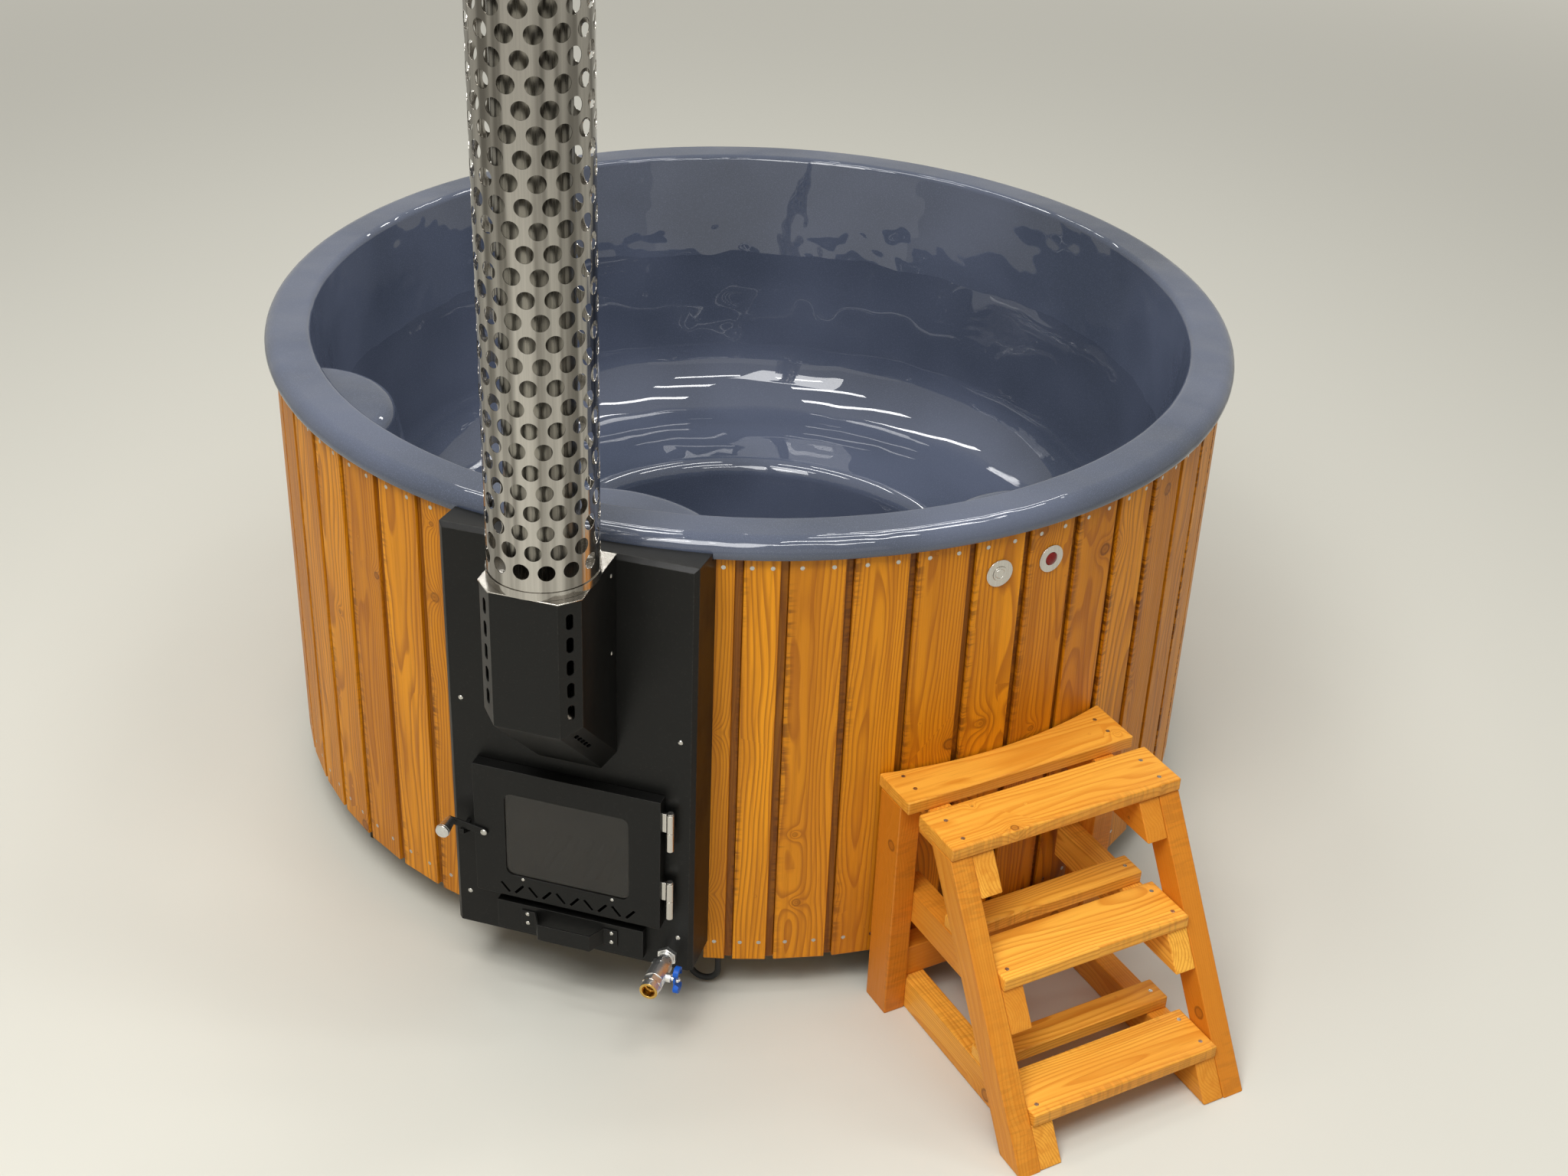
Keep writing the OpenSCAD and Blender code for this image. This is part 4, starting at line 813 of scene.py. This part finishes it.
# The fold in degrees under which two faces count as one
FLAT_ANGLE = 0.4

# Folds in degrees from which an edge is rounded, and drawn sharp on a smooth and on a rounded copy
ROUNDED_FOLD = 30.0
SMOOTH_SHARP = 35.0
ROUNDED_SHARP = 60.0


def show(node: str, shape: bmesh.types.BMesh, finish: Finish) -> bpy.types.Object:
    """Show a finished bmesh in place of a CAD node.

    Args:
        node: The CAD node that it stands for, whose body it rides on.
        shape: Its mesh, in place and in metres; it is freed.
        finish: Its look.

    Returns:
        The new object.
    """
    name = node + "_finished"
    mesh = bpy.data.meshes.new(name)
    shape.to_mesh(mesh)
    shape.free()
    mesh.shade_smooth()
    piece = bpy.data.objects.new(name, mesh)
    bpy.context.scene.collection.objects.link(piece)
    mesh.materials.append(finish.material())
    piece.modifiers.new("even_normals", "WEIGHTED_NORMAL").keep_sharp = True
    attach(piece, BODIES[node])
    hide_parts(node)
    log.info("%s: %d faces on %s", name, len(mesh.polygons), BODIES[node])
    return piece


def merged_copy(node: str, flat: float = FLAT_ANGLE) -> bmesh.types.BMesh:
    """Copy a CAD node's triangles into a bmesh with shared corners and whole flat faces.

    Args:
        node: The CAD node.
        flat: Angle in degrees under which faces count as one, or 0 to keep every triangle.

    Returns:
        The merged copy.
    """
    shape = bmesh.new()
    shape.from_mesh(frame["nodes"][node].data)
    bmesh.ops.remove_doubles(shape, verts=shape.verts, dist=MERGE_WITHIN)
    if flat:
        bmesh.ops.dissolve_limit(shape, angle_limit=math.radians(flat), verts=shape.verts, edges=shape.edges)
    return shape


def mark_sharp(shape: bmesh.types.BMesh, angle: float) -> None:
    """Mark the edges that fold by more than an angle in degrees."""
    for edge in shape.edges:
        edge.smooth = len(edge.link_faces) == 2 and edge.calc_face_angle(0.0) < math.radians(angle)


def round_edges(shape: bmesh.types.BMesh, width: float, segments: int = 2, shortest: float = 0.0) -> None:
    """Round the folds of a mesh and mark the new faces in the corner attribute "edge".

    Args:
        shape: The mesh.
        width: The rounding's width in metres.
        segments: Its steps.
        shortest: Edges shorter than this stay as they are.
    """
    folds = [edge for edge in shape.edges if len(edge.link_faces) == 2 and edge.calc_length() > shortest
             and edge.calc_face_angle(0.0) > math.radians(ROUNDED_FOLD)]
    made = bmesh.ops.bevel(shape, geom=folds, offset=width, offset_type="OFFSET", segments=segments,
                           profile=0.5, affect="EDGES", clamp_overlap=False, material=-1)
    layer = shape.loops.layers.float.new("edge")
    for face in made["faces"]:
        for loop in face.loops:
            loop[layer] = 1.0


def islands(shape: bmesh.types.BMesh) -> list[list[bmesh.types.BMVert]]:
    """Find the loose parts of a mesh.

    Args:
        shape: The mesh.

    Returns:
        The corners of each part.
    """
    shape.verts.index_update()
    seen: set[int] = set()
    found = []
    for start in shape.verts:
        if start.index in seen:
            continue
        island, front = [], [start]
        seen.add(start.index)
        while front:
            vert = front.pop()
            island.append(vert)
            for edge in vert.link_edges:
                other = edge.other_vert(vert)
                if other.index not in seen:
                    seen.add(other.index)
                    front.append(other)
        found.append(island)
    return found


def give_grain(shape: bmesh.types.BMesh, seed: int, tones: tuple[float, float]) -> None:
    """Write each loose timber's own grain coordinates and tone.

    The long way of each timber becomes the first coordinate. The other two are measured from a heart that
    lies beside the timber, so that rings cross its ends and run along its faces.

    Args:
        shape: The mesh, one island for each timber.
        seed: Start of the random draws.
        tones: Least and greatest tone of a timber.
    """
    draw = random.Random(seed)
    grain = shape.verts.layers.float_vector.new("grain")
    across = shape.verts.layers.float_vector.new("across")
    tone = shape.verts.layers.float.new("tone")
    for island in islands(shape):
        points = np.array([vert.co for vert in island])
        middle = (points.min(0) + points.max(0)) / 2
        _, axes = np.linalg.eigh(np.cov((points - points.mean(0)).T))
        # The long way first, and each way towards the positive side of the coordinate that it follows most
        axes = axes[:, ::-1] * np.sign(axes[np.abs(axes).argmax(0), range(3)])[::-1]
        along, sideways = draw.uniform(0.0, HEART_ALONG), draw.uniform(-HEART_SIDEWAYS, HEART_SIDEWAYS)
        heart = (along, sideways, draw.choice((-1, 1)) * draw.uniform(*HEART_AWAY))
        shade = draw.uniform(*tones)
        local = (points - middle) @ axes
        for vert, spot, share in zip(island, local + np.array(heart), local / np.abs(local).max(0)):
            vert[grain] = Vector(spot)
            vert[across] = Vector(share)
            vert[tone] = shade


@dataclass(frozen=True)
class Part:
    """A CAD node, the finish that it gets and how its edges are softened."""

    node: str
    finish: Finish
    form: Form = Form.KEPT
    width: float = 0.0
    segments: int = 2
    shortest: float = 0.0
    grain: bool = False
    tones: tuple[float, float] = (0.0, 1.0)

    def keep(self) -> bpy.types.Object:
        """Show the CAD node itself with a better material.

        Returns:
            The CAD node's object.
        """
        kept = frame["nodes"][self.node]
        kept.data.materials.clear()
        kept.data.materials.append(self.finish.material())
        log.info("%s: kept from the CAD", self.node)
        return kept

    def dress(self) -> bpy.types.Object:
        """Keep the CAD node with a better finish, or replace it with a softened copy.

        Returns:
            The shown object.
        """
        if self.form is Form.KEPT:
            return self.keep()
        rounded = self.form is Form.ROUNDED
        shape = merged_copy(self.node, FLAT_ANGLE if rounded else 0.0)
        if rounded:
            round_edges(shape, self.width, self.segments, self.shortest)
        mark_sharp(shape, ROUNDED_SHARP if rounded else SMOOTH_SHARP)
        if self.grain:
            give_grain(shape, sum(map(ord, self.node)), self.tones)
        return show(self.node, shape, self.finish)


@dataclass
class Assembly:
    """A sub-assembly made of CAD nodes and of pieces of its own."""

    title: str
    parts: tuple[Part, ...] = ()

    def build(self) -> None:
        """Dress the CAD nodes, then make the sub-assembly's own pieces."""
        for part in self.parts:
            part.dress()
        self.details()
        log.info("%s is complete", self.title)

    def details(self) -> None:
        """Make the pieces that only the looks have."""


# Studio


@dataclass(frozen=True)
class Lamp:
    """A soft rectangular lamp: its place, its length and width in metres and its strength in watts."""

    name: str
    at: Point
    size: tuple[float, float]
    power: float
    towards: Point | None = None

    def hang(self, heading: float) -> None:
        """Hang the lamp.

        Args:
            heading: Angle of its length where it faces straight down, in radians.
        """
        data = bpy.data.lights.new(self.name, "AREA")
        data.shape = "RECTANGLE"
        data.size, data.size_y = self.size
        data.energy = self.power
        lamp = bpy.data.objects.new(self.name, data)
        bpy.context.scene.collection.objects.link(lamp)
        lamp.location = self.at
        if self.towards is None:
            lamp.rotation_euler = (0.0, 0.0, heading)
        else:
            aim = Vector(self.towards) - Vector(self.at)
            lamp.rotation_euler = aim.to_track_quat("-Z", "Y").to_euler()


@dataclass
class Studio:
    """Camera, floor, backdrop and soft lamps."""

    eye: Point = (1.1808, -3.9082, 2.795)
    forward: Point = (-0.2297, 0.8257, -0.5153)
    right: Point = (0.9566, 0.2890, 0.0366)
    lens: float = 48.32
    sensor: float = 36.0
    farthest: float = 100.0
    key: Lamp = Lamp("key_front", (-0.1, -4.1, 5.4), (3.0, 3.0), 232.0, (0.0, -3.5, 0.0))
    low: Lamp = Lamp("low_front", (1.5, -9.5, 3.0), (16.0, 4.6), 70.0, (0.0, 0.0, 1.5))
    tube_size: tuple[float, float] = (1.5, 0.3)
    tube_power: float = 25.0
    tube_height: float = 5.0
    rows: int = 5
    row_pitch: float = 1.9
    first_row: float = -3.4
    columns: tuple[float, float] = (-1.3, 1.3)
    floor_radius: float = 60.0
    floor_sides: int = 96
    floor_roughness: float = 0.75
    floor_colour: Colour = from_srgb(206, 204, 193)
    backdrop: Colour = from_srgb(206, 203, 192)
    fade_from: float = 3.5
    fade_to: float = 10.0
    zenith: Colour = from_srgb(252, 252, 252)
    horizon: Colour = from_srgb(134, 132, 126)
    sky_rise: tuple[float, float] = (0.25, 0.85)
    band: Colour = from_srgb(255, 252, 244)
    band_side: tuple[float, float] = (0.3, 0.75)
    band_top: tuple[float, float] = (0.44, 0.36)
    sky_strength: float = 0.44

    def camera(self) -> None:
        """Set the camera where the photograph was taken from."""
        data = bpy.data.cameras.new("camera")
        data.lens = self.lens
        data.sensor_width = self.sensor
        data.clip_end = self.farthest
        camera = bpy.data.objects.new("camera", data)
        bpy.context.scene.collection.objects.link(camera)
        forward, right = Vector(self.forward).normalized(), Vector(self.right).normalized()
        up = right.cross(forward).normalized()
        right = forward.cross(up).normalized()
        turn = Matrix((right, up, -forward)).transposed()
        camera.matrix_world = Matrix.Translation(self.eye) @ turn.to_4x4()
        bpy.context.scene.camera = camera

    def floor(self) -> None:
        """Lay a plain pale floor that runs into the backdrop's colour far from the tub."""
        shape = bmesh.new()
        bmesh.ops.create_circle(shape, cap_ends=True, segments=self.floor_sides, radius=self.floor_radius)
        mesh = bpy.data.meshes.new("floor")
        shape.to_mesh(mesh)
        shape.free()
        floor = bpy.data.objects.new("floor", mesh)
        bpy.context.scene.collection.objects.link(floor)
        mesh.materials.append(self.floor_material())

    def floor_material(self) -> bpy.types.Material:
        """Make the floor's material, which keeps the tub's shadow near it.

        Returns:
            The material.
        """
        material = bpy.data.materials.new("floor_plain")
        material.use_nodes = True
        tree = Tree(material.node_tree)
        shader = material.node_tree.nodes["Principled BSDF"]
        tree.feed(shader.inputs["Base Color"], self.floor_colour)
        tree.feed(shader.inputs["Roughness"], self.floor_roughness)
        away = tree.vector("LENGTH", tree.node("TexCoord").outputs["Object"]).outputs["Value"]
        share = tree.times(tree.between(away, self.fade_from, self.fade_to), tree.background_rays())
        glow = tree.node("Emission", {0: self.backdrop, 1: 1.0})
        shown = tree.node("MixShader", {0: share, 1: shader.outputs[0], 2: glow.outputs[0]})
        tree.feed(material.node_tree.nodes["Material Output"].inputs[0], shown.outputs[0])
        return material

    def sky(self) -> None:
        """Make the soft light from all round, with a brighter low band behind the tub."""
        world = bpy.data.worlds.new("studio")
        bpy.context.scene.world = world
        world.use_nodes = True
        tree = Tree(world.node_tree)
        direction = tree.node("TexCoord").outputs["Generated"]
        height = tree.part(direction, 2)
        sky = tree.mix(tree.between(height, *self.sky_rise), self.horizon, self.zenith)
        behind = tree.between(tree.part(direction, 1), *self.band_side)
        sky = tree.mix(tree.times(behind, tree.between(height, *self.band_top)), sky, self.band)
        background = world.node_tree.nodes["Background"]
        tree.feed(background.inputs[0], sky)
        tree.feed(background.inputs[1], self.sky_strength)
        backdrop = tree.node("Background", {0: self.backdrop, 1: 1.0})
        rays = tree.background_rays()
        shown = tree.node("MixShader", {0: rays, 1: background.outputs[0], 2: backdrop.outputs[0]})
        tree.feed(world.node_tree.nodes["World Output"].inputs[0], shown.outputs[0])

    def lamps(self) -> None:
        """Hang the two large soft lamps and the rows of strip lamps over the tub."""
        heading = math.atan2(self.right[1], self.right[0])
        self.key.hang(heading)
        self.low.hang(heading)
        across, ahead = Vector(self.right).to_2d().normalized(), Vector(self.forward).to_2d().normalized()
        for row in range(self.rows):
            for side, shift in zip("lr", self.columns):
                at = across * shift + ahead * (self.first_row + row * self.row_pitch)
                place = (at.x, at.y, self.tube_height)
                Lamp(f"tube_{side}{row}", place, self.tube_size, self.tube_power).hang(heading)

    def build(self) -> None:
        """Set up the whole studio."""
        bpy.context.scene.view_settings.view_transform = "Standard"
        self.camera()
        self.floor()
        self.sky()
        self.lamps()
        log.info("studio is complete")


# Sub-assemblies


@dataclass
class Base(Assembly):
    """Runners, deck, hoops and studs under and round the tub."""

    title: str = "base and frame"
    parts: tuple[Part, ...] = (
        Part("base_runners", FINISHES.timber, Form.ROUNDED, 0.003, grain=True),
        Part("base_deck", FINISHES.plywood),
        Part("shell_seat", FINISHES.plywood),
        Part("frame_hoops", FINISHES.plywood),
        Part("frame_studs", FINISHES.frame_wood),
    )


@dataclass
class Shell(Assembly):
    """The moulded shell with its drain and its water pipes."""

    title: str = "shell"
    parts: tuple[Part, ...] = (
        Part("shell", FINISHES.gel, Form.SMOOTH),
        Part("drain_strainer", FINISHES.stainless),
        Part("drain_pipe", FINISHES.pipe),
        Part("pipe_grilles", FINISHES.stainless),
        Part("water_pipes", FINISHES.stainless),
    )


@dataclass
class Cladding(Assembly):
    """Rebated boards round the tub and their screws."""

    title: str = "cladding"
    parts: tuple[Part, ...] = (
        Part("cladding_boards", FINISHES.boards, Form.ROUNDED, 0.0016, shortest=0.006, grain=True,
             tones=(0.0, 0.5)),
        Part("board_screws", FINISHES.screws),
    )


@dataclass
class Stove(Assembly):
    """Panel, jacket, chamber and what is in them."""

    title: str = "stove"
    parts: tuple[Part, ...] = (
        Part("stove_panel", FINISHES.paint, Form.ROUNDED, 0.0009, shortest=0.004),
        Part("panel_screws", FINISHES.screws, Form.SMOOTH),
        Part("water_jacket", FINISHES.jacket),
        Part("fire_chamber", FINISHES.chamber),
        Part("fire_grate", FINISHES.grate),
        Part("flame_baffle", FINISHES.chamber),
        Part("ash_box", FINISHES.chamber),
        Part("flue_elbow", FINISHES.stainless, Form.SMOOTH),
    )


@dataclass
class FireDoor(Assembly):
    """Door with its window, hinges and latch."""

    title: str = "fire door"
    parts: tuple[Part, ...] = (
        Part("door_pan", FINISHES.paint, Form.ROUNDED, 0.0009, shortest=0.003),
        Part("door_glass", FINISHES.glass, Form.ROUNDED, 0.0005),
        Part("glass_gasket", FINISHES.gasket),
        Part("glass_frame", FINISHES.paint, Form.ROUNDED, 0.0005, shortest=0.002),
        Part("glass_screws", FINISHES.screws, Form.SMOOTH),
        Part("door_knuckles", FINISHES.stainless, Form.ROUNDED, 0.0006),
        Part("hinge_bases", FINISHES.stainless, Form.ROUNDED, 0.0006),
        Part("hinge_pins", FINISHES.stainless, Form.ROUNDED, 0.0006),
        Part("latch_lever", FINISHES.paint, Form.ROUNDED, 0.0006),
        Part("latch_catch", FINISHES.paint, Form.ROUNDED, 0.0006),
        Part("latch_knob", FINISHES.alloy, Form.ROUNDED, 0.0008),
        Part("latch_screw", FINISHES.screws, Form.SMOOTH),
    )


@dataclass
class AshDrawer(Assembly):
    """Tray, front and bent handle."""

    title: str = "ash drawer"
    parts: tuple[Part, ...] = (
        Part("ash_tray", FINISHES.chamber),
        Part("ash_front", FINISHES.paint, Form.ROUNDED, 0.0009, shortest=0.004),
        Part("ash_pull", FINISHES.paint, Form.ROUNDED, 0.0007, shortest=0.003),
        Part("pull_screws", FINISHES.screws, Form.SMOOTH),
    )


@dataclass
class Chimney(Assembly):
    """Flue cover, plate, pipes, perforated guard and rain cap."""

    title: str = "chimney"
    parts: tuple[Part, ...] = (
        Part("flue_cover", FINISHES.paint, Form.ROUNDED, 0.0008, shortest=0.004),
        Part("cover_plate", FINISHES.stainless, Form.ROUNDED, 0.0005, shortest=0.01),
        Part("flue_pipes", FINISHES.flue, Form.SMOOTH),
        Part("heat_guard", FINISHES.guard, Form.SMOOTH),
        Part("guard_rings", FINISHES.guard, Form.SMOOTH),
        Part("rain_cap", FINISHES.stainless, Form.SMOOTH),
    )


@dataclass
class DrainValve(Assembly):
    """Ball valve with its blue key.

    The key's wings are thicker than its hub, and wider, as on a moulded butterfly key.
    """

    title: str = "drain valve"
    parts: tuple[Part, ...] = (
        Part("valve_nipple", FINISHES.nickel, Form.ROUNDED, 0.0005),
        Part("valve_body", FINISHES.nickel, Form.ROUNDED, 0.0008),
        Part("valve_ball", FINISHES.nickel, Form.SMOOTH),
        Part("valve_stem", FINISHES.nickel, Form.SMOOTH),
        Part("valve_nut", FINISHES.nickel, Form.ROUNDED, 0.0005),
    )
    outlet: Part = Part("valve_outlet", FINISHES.brass, Form.ROUNDED, 0.0008)
    outward_from: float = 0.3
    mouth_depth: float = 0.0015
    key_node: str = "valve_handle"
    hub: float = 0.009
    wing_scale: Point = (2.7, 1.3, 1.0)
    key_round: float = 0.0014
    key_segments: int = 3

    def details(self) -> None:
        """Make the outlet and the key."""
        self.plate_outlet()
        self.fill_out_key()

    def plate_outlet(self) -> None:
        """Plate the outlet's outside with nickel and leave its bore and mouth in brass."""
        piece = self.outlet.dress()
        piece.data.materials.append(FINISHES.nickel.material())
        low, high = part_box(self.outlet.node)
        axis_x, axis_z = (low.x + high.x) / 2, (low.z + high.z) / 2
        for face in piece.data.polygons:
            outward = Vector((face.center.x - axis_x, 0.0, face.center.z - axis_z)).normalized()
            if face.normal.dot(outward) > self.outward_from and face.center.y > low.y + self.mouth_depth:
                face.material_index = 1

    def fill_out_key(self) -> None:
        """Fill out the key's wings and leave its hub under the nut as it is."""
        shape = merged_copy(self.key_node)
        low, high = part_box(self.key_node)
        middle = Vector((low.x, (low.y + high.y) / 2, (low.z + high.z) / 2))
        wings = [vert for vert in shape.verts if abs(vert.co.z - middle.z) > self.hub]
        bmesh.ops.scale(shape, vec=self.wing_scale, verts=wings, space=Matrix.Translation(-middle))
        round_edges(shape, self.key_round, self.key_segments)
        mark_sharp(shape, ROUNDED_SHARP)
        show(self.key_node, shape, FINISHES.key)


@dataclass
class Controls(Assembly):
    """Push button, indicator and terminal box."""

    title: str = "controls"
    parts: tuple[Part, ...] = (
        Part("button_bezel", FINISHES.stainless, Form.ROUNDED, 0.0006),
        Part("button_cap", FINISHES.stainless, Form.ROUNDED, 0.0004),
        Part("indicator_bezel", FINISHES.stainless, Form.ROUNDED, 0.0006),
        Part("indicator_lens", FINISHES.lens, Form.SMOOTH),
        Part("terminal_box", FINISHES.box, Form.ROUNDED, 0.002),
    )


@dataclass
class Cable(Assembly):
    """The short cable that hangs in a loop under the boards beside the panel.

    It comes down from behind the drain pipe, turns up again and goes in behind the lower hoop.
    """

    title: str = "cable"
    loop: Part = Part("cable_loop", FINISHES.cable, Form.SMOOTH)
    diameter: float = 0.012
    bend: float = 0.029
    bend_height: float = 0.042
    left: float = 0.19
    depth: float = -0.918
    left_top: float = 0.1502
    right_top: float = 0.1007
    bend_steps: int = 24

    def route(self) -> list[Point]:
        """Work out the cable's centre line.

        Returns:
            Its points, from the left end.
        """
        turns = [math.pi * (1 + step / self.bend_steps) for step in range(self.bend_steps + 1)]
        middle = self.left + self.bend
        bottom = [(middle + self.bend * math.cos(turn), self.depth,
                   self.bend_height + self.bend * math.sin(turn)) for turn in turns]
        start = (self.left, self.depth, self.left_top)
        end = (middle + self.bend, self.depth, self.right_top)
        return [start, *bottom, end]

    def details(self) -> None:
        """Make the cable a smooth copy of its solid."""
        piece = self.loop.dress()


@dataclass
class Steps(Assembly):
    """The loose wooden steps."""

    title: str = "steps"
    parts: tuple[Part, ...] = (
        # Painted light: the treads take the light end of the tones and the sides the dark end, so the tops
        # look lit and the upright sides shaded
        Part("step_sides", FINISHES.steps, Form.ROUNDED, 0.0025, grain=True, tones=(0.5, 1.0)),
        Part("step_treads", FINISHES.steps, Form.ROUNDED, 0.0035, segments=3, shortest=0.006, grain=True,
             tones=(0.0, 0.45)),
        Part("step_bearers", FINISHES.steps, Form.ROUNDED, 0.0025, grain=True, tones=(0.1, 0.9)),
        Part("step_rail", FINISHES.steps, Form.ROUNDED, 0.0025, grain=True, tones=(0.3, 0.8)),
        Part("step_screws", FINISHES.screws),
    )


def main() -> None:
    """Build the studio and every sub-assembly."""
    for piece in (Studio(), Cable(), Base(), Shell(), Cladding(), Stove(), FireDoor(), AshDrawer(), Chimney(),
                  DrainValve(), Controls(), Steps()):
        piece.build()


if __name__ == "__main__":
    main()
